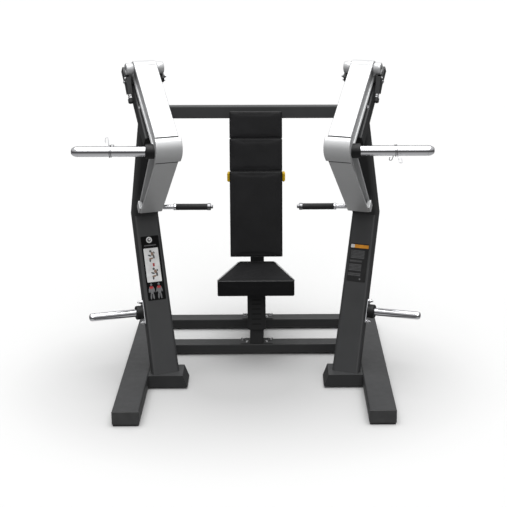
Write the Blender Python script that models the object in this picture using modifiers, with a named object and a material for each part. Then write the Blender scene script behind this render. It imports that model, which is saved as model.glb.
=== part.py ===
"""Plate-loaded converging press machine with overhead pivots.

Metres, +Z up, the user sits facing -Y.  The origin is on the floor at the
middle of the footprint.  Each side frame and its swinging arm lie in a
vertical plane that is turned SIDE_YAW away from the YZ plane, so the two
arms converge as they are pressed forward.  Within a side frame the local
axes are x = across the frame, y = h = backward in the plane, z = up.
"""
import bpy
import bmesh
import math
from mathutils import Matrix, Vector

for ob in list(bpy.data.objects):
    bpy.data.objects.remove(ob, do_unlink=True)

# ---------------------------------------------------------------- dimensions
GAP = 0.0004                       # clearance between touching pieces
Y_FRONT, Y_REAR = -0.640, 0.640    # ends of the floor skids
SKID_W, SKID_TOP, PAD_T = 0.128, 0.0765, 0.010
SKID_X = 0.601                     # centre line of each skid
CAP_T = 0.004
WALL = 0.003

SIDE_X, SIDE_Y = 0.452, -0.188     # foot of each side frame
SIDE_YAW = math.radians(20.0)

STUB_Z0, STUB_Z1 = 0.012, 0.0725   # foot box under each upright
STUB_Y0, STUB_Y1 = -0.232, -0.090
STUB_IN_TOP, STUB_IN_BOT = 0.365, 0.342

BEND_Z = 0.815                     # knee of each upright
LOW_BASE = (-0.012, 0.044)         # front and rear h at the foot
LOW_TOP = (0.301, 0.382)           # front and rear h at the knee
UP_TOP = ((0.1069, 1.2712), (0.1637, 1.3223))
UPR_W = (0.140, 0.130, 0.124)      # upright width at foot, knee, top

BEAM_W, BEAM_D = 0.124, 0.070      # head beam on top of each upright
BEAM_ANG = math.radians(42.0)
BEAM_REF = (0.227, 1.4275)         # a point on its centre line (h, z)
BEAM_LOW, BEAM_HIGH = -0.262, 0.152

PIVOT = (0.234, 1.575)             # arm pivot (h, z)
AXLE_R, HOUSING_R = 0.016, 0.030
HOUSING_IN, HOUSING_OUT = 0.0585, 0.093
YOKE_L = 0.080
PEG_TILT = math.radians(1.6)
STOP_LEAN = math.radians(28.0)     # the stop points down and forward

ARM_DIR = Vector((-0.789, -0.614)).normalized()   # upper arm, down and forward
ARM_DOWN = Vector((0.614, -0.789)).normalized()
ARM_W, ARM_D = 0.112, 0.088
ARM_TOP0 = Vector((0.216, 1.605))  # on the arm's top face
ARM_SEAM = 0.480                   # top face length to the elbow seam
ARM_WALL = 0.004
LOWER_A = Vector((-0.150, 1.191))  # front face of the lower arm, top end
LOWER_B = Vector((0.193, 0.857))   # and bottom end
LOWER_D = (0.095, 0.046)
ELBOW_T = (-0.060, 0.066)          # elbow cover across the arm
ELBOW_R = 0.066

HORN_R, HORN_TIP = 0.0245, 0.842
HORN_Y, HORN_Z = -0.331, 1.244
COLLAR_R, COLLAR_X = 0.035, 0.497
HANDLE_Y, HANDLE_Z = 0.010, 0.881
ROD_R, GRIP_R = 0.0115, 0.016

BAR_Z0, BAR_Z1 = 0.012, 0.064      # floor crossbars
FRONT_BAR = (0.193, 0.274)
REAR_BAR = (0.559, 0.640)
TOP_BAR_Y = (0.570, 0.615)
TOP_BAR_Z = (1.219, 1.287)
TOP_BAR_X = 0.530
BACKPOST_W = 0.075

SEAT_POST_W, SEAT_SLEEVE_W = 0.071, 0.096
SEAT_POST_Y = 0.2335
SLEEVE_Z = (0.150, 0.3640)
SEAT_TOP, SEAT_BOT = 0.460, 0.375
SEAT_Y = (0.085, 0.410)

BACK_ANG = math.radians(6.0)
BACK_REF = (0.352, 0.5035)           # front lower edge of the lower pad (y, z)
BACK_W = 0.280

PAD_STEP = 0.018

# ---------------------------------------------------------------- containers
parts = bpy.data.collections.new("press_machine")
bpy.context.scene.collection.children.link(parts)
tools = bpy.data.collections.new("cutters")
bpy.context.scene.collection.children.link(tools)


def material(name, color, rough, metal):
    m = bpy.data.materials.new(name)
    m.use_nodes = True
    b = m.node_tree.nodes["Principled BSDF"]
    b.inputs["Base Color"].default_value = (*color, 1.0)
    b.inputs["Roughness"].default_value = rough
    b.inputs["Metallic"].default_value = metal
    return m


PALETTE = {
    "frame": ((0.045, 0.046, 0.048), 0.45, 0.3),
    "silver": ((0.72, 0.73, 0.74), 0.35, 0.6),
    "brushed": ((0.45, 0.45, 0.46), 0.35, 0.9),
    "chrome": ((0.80, 0.80, 0.82), 0.12, 1.0),
    "black_plastic": ((0.012, 0.012, 0.012), 0.5, 0.0),
    "rubber": ((0.015, 0.015, 0.015), 0.8, 0.0),
    "upholstery": ((0.014, 0.014, 0.015), 0.6, 0.0),
    "yellow": ((0.55, 0.31, 0.01), 0.4, 0.0),
}


def keep(ob, name, kind, parent=None):
    ob.name = name
    ob.data.name = name
    c, r, m = PALETTE[kind]
    ob.data.materials.clear()
    ob.data.materials.append(material(name, c, r, m))
    for col in list(ob.users_collection):
        col.objects.unlink(ob)
    parts.objects.link(ob)
    if parent is not None:
        ob.parent = parent
    return ob


def empty(name, loc, rot=(0, 0, 0), parent=None):
    e = bpy.data.objects.new(name, None)
    parts.objects.link(e)
    e.location = loc
    e.rotation_euler = rot
    e.empty_display_size = 0.1
    if parent is not None:
        e.parent = parent
    return e


def cube(size, centre=(0, 0, 0)):
    bpy.ops.mesh.primitive_cube_add(size=1.0)
    ob = bpy.context.active_object
    for v in ob.data.vertices:
        v.co = Vector((v.co.x * size[0] + centre[0], v.co.y * size[1] + centre[1],
                       v.co.z * size[2] + centre[2]))
    return ob


def bevel(ob, width, segments=2, angle=30.0):
    m = ob.modifiers.new("edges", "BEVEL")
    m.width = width
    m.segments = segments
    m.limit_method = "ANGLE"
    m.angle_limit = math.radians(angle)
    return m


def shell(ob, wall):
    m = ob.modifiers.new("wall", "SOLIDIFY")
    m.thickness = wall
    m.offset = -1.0
    m.use_even_offset = True
    m.use_rim = True
    return m


def open_faces(ob, test):
    bm = bmesh.new()
    bm.from_mesh(ob.data)
    bm.normal_update()
    gone = [f for f in bm.faces if test(f)]
    bmesh.ops.delete(bm, geom=gone, context="FACES")
    bm.to_mesh(ob.data)
    bm.free()


def box_tube(size, axis, wall=WALL, radius=0.008, both=True):
    """Rectangular tube along one axis (0, 1 or 2), open at its ends."""
    ob = cube(size)
    open_faces(ob, lambda f: abs(f.normal[axis]) > 0.9 and (both or f.normal[axis] < 0))
    bevel(ob, radius)
    shell(ob, wall)
    return ob


def corner_solid(low, high, radius):
    ob = cube((1, 1, 1))
    for v in ob.data.vertices:
        ring = low if v.co.z < 0 else high
        v.co = Vector(ring[(1 if v.co.x > 0 else 0, 1 if v.co.y > 0 else 0)])
    open_faces(ob, lambda f: False)
    bevel(ob, radius, 3)
    return ob


def corner_tube(low, high, wall, radius, parent):
    """Tube between two rings of four corners each, bored through, flat at its ends."""
    ob = corner_solid(low, high, radius)
    ax = ob.modifiers["edges"]
    ax.limit_method = "WEIGHT"
    long_edges(ob)
    inner = []
    for ring in (low, high):
        r2 = {}
        for (ix, iy), p in ring.items():
            r2[(ix, iy)] = Vector((p[0] + (wall if ix == 0 else -wall),
                                   p[1] + (wall if iy == 0 else -wall) * 1.1, p[2]))
        inner.append(r2)
    lo = {k: v + (v - inner[1][k]) * 0.05 for k, v in inner[0].items()}
    hi = {k: v + (v - inner[0][k]) * 0.05 for k, v in inner[1].items()}
    c = corner_solid(lo, hi, max(radius - wall, 0.002))
    c.modifiers["edges"].limit_method = "WEIGHT"
    long_edges(c)
    c.parent = parent
    cutter(c, ob)
    return ob


def long_edges(ob):
    """Bevel only the four edges that run along the tube."""
    me = ob.data
    at = me.attributes.new("bevel_weight_edge", "FLOAT", "EDGE")
    for e in me.edges:
        a_, b_ = (me.vertices[i].co for i in e.vertices)
        at.data[e.index].value = 1.0 if abs(a_.z - b_.z) > 0.2 else 0.0


def outline(points, half):
    """Flat outline in local XY, extruded by half each way, as a welded mesh."""
    cu = bpy.data.curves.new("outline", "CURVE")
    cu.dimensions = "2D"
    cu.fill_mode = "BOTH"
    cu.extrude = half
    sp = cu.splines.new("POLY")
    sp.points.add(len(points) - 1)
    for p, q in zip(sp.points, points):
        p.co = (q[0], q[1], 0.0, 1.0)
    sp.use_cyclic_u = True
    tmp = bpy.data.objects.new("outline", cu)
    tools.objects.link(tmp)
    bpy.context.view_layer.update()
    dep = bpy.context.evaluated_depsgraph_get()
    me = bpy.data.meshes.new_from_object(tmp.evaluated_get(dep))
    bpy.data.objects.remove(tmp, do_unlink=True)
    bm = bmesh.new()
    bm.from_mesh(me)
    bmesh.ops.remove_doubles(bm, verts=bm.verts[:], dist=1e-5)
    bmesh.ops.recalc_face_normals(bm, faces=bm.faces[:])
    bmesh.ops.dissolve_limit(bm, angle_limit=0.002, verts=bm.verts[:], edges=bm.edges[:])
    bm.to_mesh(me)
    bm.free()
    ob = bpy.data.objects.new("outline", me)
    tools.objects.link(ob)
    return ob


def side_outline(points, t0, t1, sx):
    """Outline given as (h, z) in a side plane; runs from t0 to t1 inward."""
    ob = outline(points, abs(t1 - t0) / 2)
    # outline XY -> local YZ, its thickness -> local X
    m = Matrix(((0, 0, 1, sx * (t0 + t1) / 2), (1, 0, 0, 0), (0, 1, 0, 0), (0, 0, 0, 1)))
    ob.data.transform(m)
    return ob


def turned(profile, steps=28):
    """Screw of a profile of (radius, height), listed top to bottom."""
    me = bpy.data.meshes.new("profile")
    me.from_pydata([(r, 0, z) for r, z in profile],
                   [(i, i + 1) for i in range(len(profile) - 1)], [])
    ob = bpy.data.objects.new("profile", me)
    tools.objects.link(ob)
    s = ob.modifiers.new("turn", "SCREW")
    s.steps = steps
    s.render_steps = steps
    s.use_merge_vertices = True
    s.merge_threshold = 0.00005
    s.use_smooth_shade = True
    return ob


def cutter(ob, target):
    for col in list(ob.users_collection):
        col.objects.unlink(ob)
    tools.objects.link(ob)
    ob.hide_render = True
    ob.display_type = "WIRE"
    b = target.modifiers.new("cut", "BOOLEAN")
    b.operation = "DIFFERENCE"
    b.solver = "EXACT"
    b.object = ob


def joined(a, b):
    b_mod = a.modifiers.new("join", "BOOLEAN")
    b_mod.operation = "UNION"
    b_mod.solver = "EXACT"
    b_mod.object = b
    for col in list(b.users_collection):
        col.objects.unlink(b)
    tools.objects.link(b)
    b.hide_render = True
    b.display_type = "WIRE"


def rod(r, length, verts=24):
    bpy.ops.mesh.primitive_cylinder_add(vertices=verts, radius=r, depth=length)
    return bpy.context.active_object


def smooth(ob, deg=35):
    ob.data.shade_smooth()
    ob.data.set_sharp_from_angle(angle=math.radians(deg))


# ---------------------------------------------------------------- floor frame
def floor_side(side, s):
    y0, y1 = Y_FRONT + CAP_T + GAP, Y_REAR - CAP_T - GAP
    ob = box_tube((SKID_W, y1 - y0, SKID_TOP - PAD_T - GAP), 1, radius=0.006)
    ob.location = (s * SKID_X, (y0 + y1) / 2, (SKID_TOP + PAD_T + GAP) / 2)
    keep(ob, side + "_skid", "frame")
    for end, y in (("front", Y_FRONT + CAP_T / 2), ("rear", Y_REAR - CAP_T / 2)):
        c = cube((SKID_W - 0.001, CAP_T, SKID_TOP - PAD_T - GAP - 0.001))
        c.location = (s * SKID_X, y, (SKID_TOP + PAD_T + GAP) / 2)
        bevel(c, 0.0012, 1)
        keep(c, side + "_skid_" + end + "_cap", "black_plastic")
    p = cube((SKID_W - 0.006, Y_REAR - Y_FRONT - 0.012, PAD_T))
    p.location = (s * SKID_X, 0, PAD_T / 2)
    bevel(p, 0.002, 1)
    keep(p, side + "_skid_rubber_foot", "rubber")

    # foot box: sits against the skid, with a sloping inner end
    x_out = SKID_X - SKID_W / 2 - GAP
    ob = cube((1, 1, 1))
    hollow = cube((1, 1, 1))
    for body, t, xo in ((ob, 0.0, x_out), (hollow, 0.004, x_out + 0.020)):
        for v in body.data.vertices:
            top = v.co.z > 0
            z = STUB_Z1 - t if top else STUB_Z0 + t
            # the inner end slopes: follow that slope at any height
            f = (z - STUB_Z0) / (STUB_Z1 - STUB_Z0)
            x_in = STUB_IN_BOT + (STUB_IN_TOP - STUB_IN_BOT) * f + t * 1.1
            x = xo if v.co.x * s > 0 else x_in
            v.co = Vector((s * x, STUB_Y1 - t if v.co.y > 0 else STUB_Y0 + t, z))
    cutter(hollow, ob)
    keep(ob, side + "_foot_box", "frame")


def floor_bar(name, ys, x_half):
    ob = box_tube((2 * x_half, ys[1] - ys[0], BAR_Z1 - BAR_Z0), 0, radius=0.006)
    ob.location = (0, (ys[0] + ys[1]) / 2, (BAR_Z0 + BAR_Z1) / 2)
    keep(ob, name, "frame")


for side, s in (("left", -1), ("right", 1)):
    floor_side(side, s)
BAR_HALF = SKID_X - SKID_W / 2 - GAP
floor_bar("front_crossbar", FRONT_BAR, BAR_HALF)
floor_bar("rear_crossbar", REAR_BAR, BAR_HALF)
ob = box_tube((0.070, REAR_BAR[0] - FRONT_BAR[1] - 2 * GAP, 0.048), 1, radius=0.006)
ob.location = (0, (REAR_BAR[0] + FRONT_BAR[1]) / 2, BAR_Z0 + 0.026)
keep(ob, "centre_spine", "frame")

# top crossbar behind the head
ob = box_tube((2 * TOP_BAR_X, TOP_BAR_Y[1] - TOP_BAR_Y[0], TOP_BAR_Z[1] - TOP_BAR_Z[0]), 0, radius=0.006)
ob.location = (0, sum(TOP_BAR_Y) / 2, sum(TOP_BAR_Z) / 2)
keep(ob, "top_crossbar", "frame")

# rear post that carries the backrest
pz0, pz1 = BAR_Z1 + GAP, TOP_BAR_Z[0] - GAP
ob = box_tube((BACKPOST_W, BACKPOST_W, pz1 - pz0), 2, radius=0.006)
ob.location = (0, REAR_BAR[0] + BACKPOST_W / 2 + 0.001, (pz0 + pz1) / 2)
post = keep(ob, "backrest_post", "frame")
POST_FRONT = REAR_BAR[0] + 0.001


# ---------------------------------------------------------------- side frames
def beam_point(along, up):
    u = Vector((math.cos(BEAM_ANG), math.sin(BEAM_ANG)))
    n = Vector((-math.sin(BEAM_ANG), math.cos(BEAM_ANG)))
    return Vector(BEAM_REF) + along * u + up * n


def ring(front, rear, zf, zr, w):
    out = {}
    for ix, x in ((0, -w / 2), (1, w / 2)):
        out[(ix, 0)] = (x, front, zf)
        out[(ix, 1)] = (x, rear, zr)
    return out


def side_frame(side, s):
    sx = -s                                     # local +x is inward on the left side
    base = empty(side + "_side_axes", (s * SIDE_X, SIDE_Y, 0), (0, 0, -s * SIDE_YAW))
    z0 = STUB_Z1 + GAP
    ob = corner_tube(ring(*LOW_BASE, z0, z0, UPR_W[0]), ring(*LOW_TOP, BEND_Z, BEND_Z, UPR_W[1]), WALL, 0.014, base)
    keep(ob, side + "_upright_lower", "frame", base)
    zb = BEND_Z + GAP
    (fh, fz), (rh, rz) = UP_TOP
    ob = corner_tube(ring(*LOW_TOP, zb, zb, UPR_W[1]), ring(fh, rh, fz - 0.001, rz - 0.001, UPR_W[2]), WALL, 0.014, base)
    keep(ob, side + "_upright_upper", "frame", base)

    # head beam
    length = BEAM_HIGH - BEAM_LOW
    mid = beam_point((BEAM_LOW + BEAM_HIGH) / 2, 0)
    ob = box_tube((BEAM_W, length, BEAM_D), 1, radius=0.008)
    ob.location = (0, mid.x, mid.y)
    ob.rotation_euler = (BEAM_ANG, 0, 0)
    keep(ob, side + "_head_beam", "frame", base)

    # yoke over the beam; its ears carry the axle housings
    rel = Vector(PIVOT) - Vector(BEAM_REF)
    along = rel.x * math.cos(BEAM_ANG) + rel.y * math.sin(BEAM_ANG)
    up = -rel.x * math.sin(BEAM_ANG) + rel.y * math.cos(BEAM_ANG)
    top = up - HOUSING_R - GAP
    b = BEAM_D / 2 + GAP
    o, i, k, c = 0.098, BEAM_W / 2 + GAP, 0.075, 0.0744
    pts = [(-c, -0.020), (-i, -0.020), (-i, b), (i, b), (i, -0.020), (c, -0.020), (c, b + 0.002),
           (k, b + 0.0024), (k, b + 0.010), (-k, b + 0.010), (-k, b + 0.0024), (-c, b + 0.002)]
    ob = outline(pts, YOKE_L / 2)
    # outline XY -> across, up; thickness -> along the beam
    ob.data.transform(Matrix(((1, 0, 0, 0), (0, 0, -1, 0), (0, 1, 0, 0), (0, 0, 0, 1))))
    foot = beam_point(along, 0)
    ob.location = (0, foot.x, foot.y)
    ob.rotation_euler = (BEAM_ANG, 0, 0)
    yoke = keep(ob, side + "_pivot_yoke", "frame", base)
    for way in (-1, 1):
        ear = cube((o - k + 0.002, YOKE_L - 0.0006, top - b - 0.003))
        ear.location = Vector((way * (o + k - 0.002) / 2, foot.x, foot.y)) \
            + Vector((0, -math.sin(BEAM_ANG), math.cos(BEAM_ANG))) * ((top + b + 0.003) / 2)
        ear.rotation_euler = (BEAM_ANG, 0, 0)
        ear.parent = base
        joined(yoke, ear)

    # bracket in front of the outer ear, for the stop
    brk = side_outline([(0.206, 1.5425), (0.177, 1.4645), (0.215, 1.4550), (0.2523, 1.5040),
                        (0.2638, 1.5211), (0.247, 1.5397)], -o + 0.0012, -k - 0.0012, sx)
    brk.parent = base
    joined(yoke, brk)

    # fixed axle with its two end housings
    r, a, hi, ho = HOUSING_R, AXLE_R, HOUSING_IN, HOUSING_OUT
    prof = [(0, ho), (r - 0.006, ho), (r, ho - 0.005), (r, hi), (a, hi),
            (a, -hi), (r, -hi), (r, -ho + 0.005), (r - 0.006, -ho), (0, -ho)]
    ob = turned(prof, 32)
    ob.location = (0, PIVOT[0], PIVOT[1])
    ob.rotation_euler = (0, math.pi / 2, 0)
    keep(ob, side + "_pivot_axle", "silver", base)

    # rubber stop below the outer ear
    prof = [(0, 0), (0.006, 0), (0.006, -0.022), (0.013, -0.0225), (0.013, -0.042), (0.010, -0.046), (0, -0.046)]
    ob = turned(prof, 20)
    ob.location = (-sx * (o + k) / 2, 0.1900 - 0.0020 * math.sin(STOP_LEAN), 1.4612 - 0.0020 * math.cos(STOP_LEAN))
    ob.rotation_euler = (-STOP_LEAN, 0, 0)
    keep(ob, side + "_stop_bumper", "rubber", base)

    # link tube back to the top crossbar, parallel to Y in the world
    zc = 1.257
    x_link = 0.494
    y_start = 0.025
    ob = box_tube((0.050, TOP_BAR_Y[0] - GAP - y_start, 0.056), 1, radius=0.005)
    ob.location = (s * x_link, (y_start + TOP_BAR_Y[0] - GAP) / 2, zc)
    keep(ob, side + "_top_link", "frame")

    # storage peg with its plate on the outer side of the upright
    zc = 0.355
    frac = (zc - z0) / (BEND_Z - z0)
    face = UPR_W[0] / 2 + (UPR_W[1] - UPR_W[0]) / 2 * frac
    hc = 0.5 * (LOW_BASE[0] + LOW_BASE[1]) * (1 - frac) + 0.5 * (LOW_TOP[0] + LOW_TOP[1]) * frac
    lean = math.atan2(0.5 * (sum(LOW_TOP) - sum(LOW_BASE)), BEND_Z - z0)
    plate = cube((0.004, 0.046, 0.118))
    plate.location = (-sx * (face + 0.0045), hc, zc)
    plate.rotation_euler = (-lean, 0, 0)
    peg = turned([(0, 0.274), (0.010, 0.272), (0.0165, 0.266), (0.0195, 0.256), (0.0195, 0.0), (0, 0.0)], 28)
    peg.location = (-sx * (face + 0.0030), hc, zc)
    peg.rotation_euler = (0, -sx * (math.pi / 2 - PEG_TILT), 0)
    peg.parent = base
    keep(plate, side + "_storage_peg", "chrome", base)
    joined(plate, peg)
    c = turned([(0.0203, 0.034), (0.030, 0.034), (0.035, 0.029), (0.035, 0.0), (0.0203, 0.0)], 28)
    # a ring: close the profile by adding its inner wall
    me = c.data
    me.clear_geometry()
    pr = [(0.0203, 0.034), (0.030, 0.034), (0.035, 0.029), (0.035, 0.0), (0.0203, 0.0)]
    me.from_pydata([(r_, 0, z_) for r_, z_ in pr], [(i_, (i_ + 1) % len(pr)) for i_ in range(len(pr))], [])
    tilt = -sx * (math.pi / 2 - PEG_TILT)
    axis = Vector((-sx * math.cos(PEG_TILT), 0, math.sin(PEG_TILT)))
    start = Vector((-sx * (face + 0.0030), hc, zc)) + axis * 0.0052
    c.location = start
    c.rotation_euler = (0, tilt, 0)
    keep(c, side + "_storage_peg_collar", "black_plastic", base)
    return base


def side_arm(side, s, base):
    """Swinging arm.  Its empty sits on the pivot axis."""
    sx = -s
    piv = empty(side + "_arm_pivot", (0, PIVOT[0], PIVOT[1]), parent=base)

    def local(p):
        return (p[0] - PIVOT[0], p[1] - PIVOT[1])

    # upper arm: a closed box section, round at the pivot, open at the elbow
    top0 = ARM_TOP0
    c = top0 + ARM_DOWN * (ARM_D / 2)
    along = (Vector(PIVOT) - top0).dot(ARM_DIR)
    pts = []
    for k in range(0, 9):
        a = math.pi * k / 8
        p = c + ARM_DIR * along + (ARM_DOWN * math.cos(a) - ARM_DIR * math.sin(a)) * (ARM_D / 2)
        pts.append(p)
    pts.append(top0 + ARM_DIR * ARM_SEAM)
    pts.append(top0 + ARM_DIR * ARM_SEAM + ARM_DOWN * ARM_D)
    ob = side_outline([local(p) for p in pts], -ARM_W / 2, ARM_W / 2, sx)
    open_faces(ob, lambda f: f.normal.y * ARM_DIR.x + f.normal.z * ARM_DIR.y > 0.95)
    bevel(ob, 0.004, 2, 40)
    shell(ob, ARM_WALL)
    hole = rod(AXLE_R + 0.001, 0.3, 32)
    hole.rotation_euler = (0, math.pi / 2, 0)
    hole.parent = piv
    cutter(hole, ob)
    keep(ob, side + "_arm_upper", "silver", piv)

    # elbow cover: wraps the knee of the arm
    a_dir = (LOWER_B - LOWER_A).normalized()
    a_in = Vector((-a_dir.y, a_dir.x))
    if a_in.x < 0:
        a_in = -a_in
    g = 0.0006
    u1 = top0 + ARM_DIR * (ARM_SEAM + g) - ARM_DOWN * 0.003
    l1 = LOWER_A - a_dir * g - a_in * 0.003
    # corner of the two proud faces
    d1, d2 = ARM_DIR, -a_dir
    det = d1.x * (-d2.y) - d1.y * (-d2.x)
    w = l1 - u1
    t = (w.x * (-d2.y) - w.y * (-d2.x)) / det
    corner = u1 + d1 * t
    turn = math.acos(max(-1, min(1, d1.dot(-d2))))
    tl = ELBOW_R * math.tan(turn / 2)
    p_in = corner - d1 * tl
    p_out = corner - d2 * tl
    centre = p_in + ARM_DOWN * ELBOW_R
    a0 = math.atan2(p_in.y - centre.y, p_in.x - centre.x)
    a1 = math.atan2(p_out.y - centre.y, p_out.x - centre.x)
    if a1 < a0:
        a1 += 2 * math.pi
    arc = [centre + ELBOW_R * Vector((math.cos(a0 + (a1 - a0) * k / 10), math.sin(a0 + (a1 - a0) * k / 10)))
           for k in range(11)]
    inner = Vector((-0.1105, 1.2368))
    pts = [u1] + arc + [l1, inner]
    ob = side_outline([local(p) for p in pts], ELBOW_T[0], ELBOW_T[1], sx)
    bevel(ob, 0.003, 2, 40)
    keep(ob, side + "_elbow_cover", "silver", piv)

    # lower arm: tapers towards the handle, open at the elbow
    pts = [LOWER_A, LOWER_B, LOWER_B + a_in * LOWER_D[1], LOWER_A + a_in * LOWER_D[0]]
    ob = side_outline([local(p) for p in pts], -ARM_W / 2, ARM_W / 2, sx)
    open_faces(ob, lambda f: f.normal.y * a_dir.x + f.normal.z * a_dir.y < -0.95)
    bevel(ob, 0.004, 2, 40)
    shell(ob, ARM_WALL)
    keep(ob, side + "_arm_lower", "silver", piv)

    # pieces that run parallel to X are placed in the world, then hung on the pivot
    rz = -s * SIDE_YAW
    world = Matrix.Translation((s * SIDE_X, SIDE_Y, 0)) @ Matrix.Rotation(rz, 4, "Z") \
        @ Matrix.Translation((0, PIVOT[0], PIVOT[1]))
    inv = world.inverted()
    n_in = Vector((-s * math.cos(SIDE_YAW), math.sin(SIDE_YAW), 0))
    p0 = Vector((s * SIDE_X, SIDE_Y, 0))

    def plane_x(y, t_off):
        # X of the vertical plane t = t_off at a given Y
        q = p0 + n_in * t_off
        return q.x - (y - q.y) * n_in.y / n_in.x

    def hang(ob, x, y, z, outward):
        m = Matrix.Translation((x, y, z)) @ Matrix.Rotation((math.pi / 2) * outward, 4, "Y")
        ob.matrix_local = inv @ m

    # collar: its inner end follows the elbow's side
    x_face = abs(plane_x(HORN_Y, ELBOW_T[0]))
    ln = COLLAR_X - x_face
    ob = rod(COLLAR_R, ln, 32)
    for v in ob.data.vertices:
        if v.co.z < 0:
            # local x of the rod becomes world -Z or +Z, local y stays world Y
            yy = HORN_Y + v.co.y
            xf = abs(plane_x(yy, ELBOW_T[0] - GAP))
            v.co.z = xf - (x_face + ln / 2)
    keep(ob, side + "_horn_collar", "black_plastic", piv)
    hang(ob, s * (x_face + ln / 2), HORN_Y, HORN_Z, s)
    smooth(ob)

    x0 = COLLAR_X + GAP
    ln = HORN_TIP - x0
    ob = turned([(0, ln), (0.012, ln - 0.001), (0.019, ln - 0.005), (0.0228, ln - 0.011), (HORN_R, ln - 0.020),
                 (HORN_R, 0), (0, 0)], 32)
    keep(ob, side + "_weight_horn", "chrome", piv)
    hang(ob, s * x0, HORN_Y, HORN_Z, s)

    # handle rod: bolted to the inner side, with a ring and an end flange
    xf = abs(plane_x(HANDLE_Y, ARM_W / 2 + GAP)) - 0.0046
    g0, g1, g2 = 0.4077, 0.3952, 0.2352
    prof = [(0, xf - 0.2102), (0.009, xf - 0.2102), (0.009, xf - 0.2210), (0.0175, xf - 0.2215),
            (0.0175, xf - g2 + GAP), (0.0105, xf - g2 + GAP), (0.0105, xf - g1 - GAP),
            (0.0165, xf - g1 - GAP), (0.0165, xf - g0), (ROD_R, xf - g0), (ROD_R, 0), (0, 0)]
    ob = turned(prof, 24)
    keep(ob, side + "_handle_rod", "chrome", piv)
    hang(ob, s * xf, HANDLE_Y, HANDLE_Z, -s)

    l0, l1_ = xf - g1 + GAP, xf - g2 - GAP
    ob = turned([(0.0112, l1_), (0.0150, l1_), (GRIP_R, l1_ - 0.004), (GRIP_R, l0 + 0.004), (0.0150, l0), (0.0112, l0)], 24)
    me = ob.data
    pr = [(0.0112, l1_), (0.0150, l1_), (GRIP_R, l1_ - 0.004), (GRIP_R, l0 + 0.004), (0.0150, l0), (0.0112, l0)]
    me.clear_geometry()
    me.from_pydata([(r_, 0, z_) for r_, z_ in pr], [(i_, (i_ + 1) % len(pr)) for i_ in range(len(pr))], [])
    keep(ob, side + "_grip", "rubber", piv)
    hang(ob, s * xf, HANDLE_Y, HANDLE_Z, -s)

    # spring clip: a coil around the horn with two finger loops
    coil = []
    turns, wr = 1.75, 0.0019
    rr = HORN_R + wr + 0.0007
    steps = 15
    n = int(turns * steps)
    up = 1 if side == "left" else -1
    lead = math.radians(38)
    for k in range(n + 1):
        f = k / n
        a = lead + f * turns * 2 * math.pi
        coil.append(((f - 0.5) * 0.0125, rr * math.sin(a), rr * math.cos(a)))
    start, end = Vector(coil[0]), Vector(coil[-1])

    def loop(p, x_dir):
        # finger loop: leaves the coil radially, 46 mm out, and folds back
        out = Vector((0, p.y, p.z)).normalized()
        tan = Vector((x_dir, 0, 0))
        q = [p + out * 0.012 + tan * 0.002, p + out * 0.040 + tan * 0.006, p + out * 0.046 + tan * 0.013,
             p + out * 0.040 + tan * 0.019, p + out * 0.018 + tan * 0.017]
        return q
    pts = list(reversed(loop(start, -1))) + [Vector(c_) for c_ in coil] + loop(end, 1)
    cu = bpy.data.curves.new("clip", "CURVE")
    cu.dimensions = "3D"
    cu.bevel_depth = wr
    cu.bevel_resolution = 1
    cu.use_fill_caps = True
    sp = cu.splines.new("POLY")
    sp.points.add(len(pts) - 1)
    for q, p in zip(sp.points, pts):
        q.co = (p.x, p.y, up * p.z, 1.0)
    ob = bpy.data.objects.new("clip", cu)
    tools.objects.link(ob)
    keep(ob, side + "_spring_clip", "chrome", piv)
    ob.matrix_local = inv @ Matrix.Translation((s * 0.662, HORN_Y, HORN_Z))
    return piv


for side, s in (("left", -1), ("right", 1)):
    base = side_frame(side, s)
    side_arm(side, s, base)

# ---------------------------------------------------------------- seat
z0, z1 = BAR_Z1 + GAP, 0.278
ob = box_tube((SEAT_POST_W, SEAT_POST_W, z1 - z0), 2, radius=0.005)
ob.location = (0, SEAT_POST_Y, (z0 + z1) / 2)
keep(ob, "seat_post", "frame")

seat_axis = empty("seat_slide", (0, SEAT_POST_Y, SLEEVE_Z[0]))
ob = box_tube((SEAT_SLEEVE_W, SEAT_SLEEVE_W, SLEEVE_Z[1] - SLEEVE_Z[0]), 2, wall=0.008, radius=0.010)
ob.location = (0, 0, (SLEEVE_Z[1] - SLEEVE_Z[0]) / 2)
hole = rod(0.0075, 0.05, 20)
hole.rotation_euler = (math.pi / 2, 0, 0)
hole.location = (0, SEAT_SLEEVE_W / 2, 0.075)
hole.parent = seat_axis
cutter(hole, ob)
keep(ob, "seat_sleeve", "frame", seat_axis)

# mounting plate welded on top of the sleeve
plate = cube((0.180, 0.240, 0.009))
plate.location = (0, 0.010, SLEEVE_Z[1] - SLEEVE_Z[0] + 0.0040)
plate.parent = seat_axis
joined(ob, plate)


def seat_outline():
    y0, y1 = SEAT_Y
    half = []
    # right half, front to back: wide front with rounded corners, narrow tail
    r = 0.012
    wf, wb = 0.2015, 0.098
    for k in range(5):
        a = -math.pi / 2 + math.pi / 2 * k / 4
        half.append((wf - r + r * math.cos(a), y0 + r + r * math.sin(a)))
    half.append((wf - 0.001, y0 + 0.022))
    half.append((wb + 0.006, y1 - 0.016))
    for k in range(1, 5):
        a = math.pi / 2 * k / 4
        half.append((wb - 0.012 + 0.012 * math.cos(a), y1 - 0.012 + 0.012 * math.sin(a)))
    left = [(-x, y) for x, y in reversed(half)]
    return half + left


ob = outline([(x, y - SEAT_POST_Y) for x, y in seat_outline()], (SEAT_TOP - SEAT_BOT) / 2)
ob.location = (0, 0, (SEAT_TOP + SEAT_BOT) / 2 - SLEEVE_Z[0])
bevel(ob, 0.010, 2, 40)
keep(ob, "seat_pad", "upholstery", seat_axis)

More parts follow.
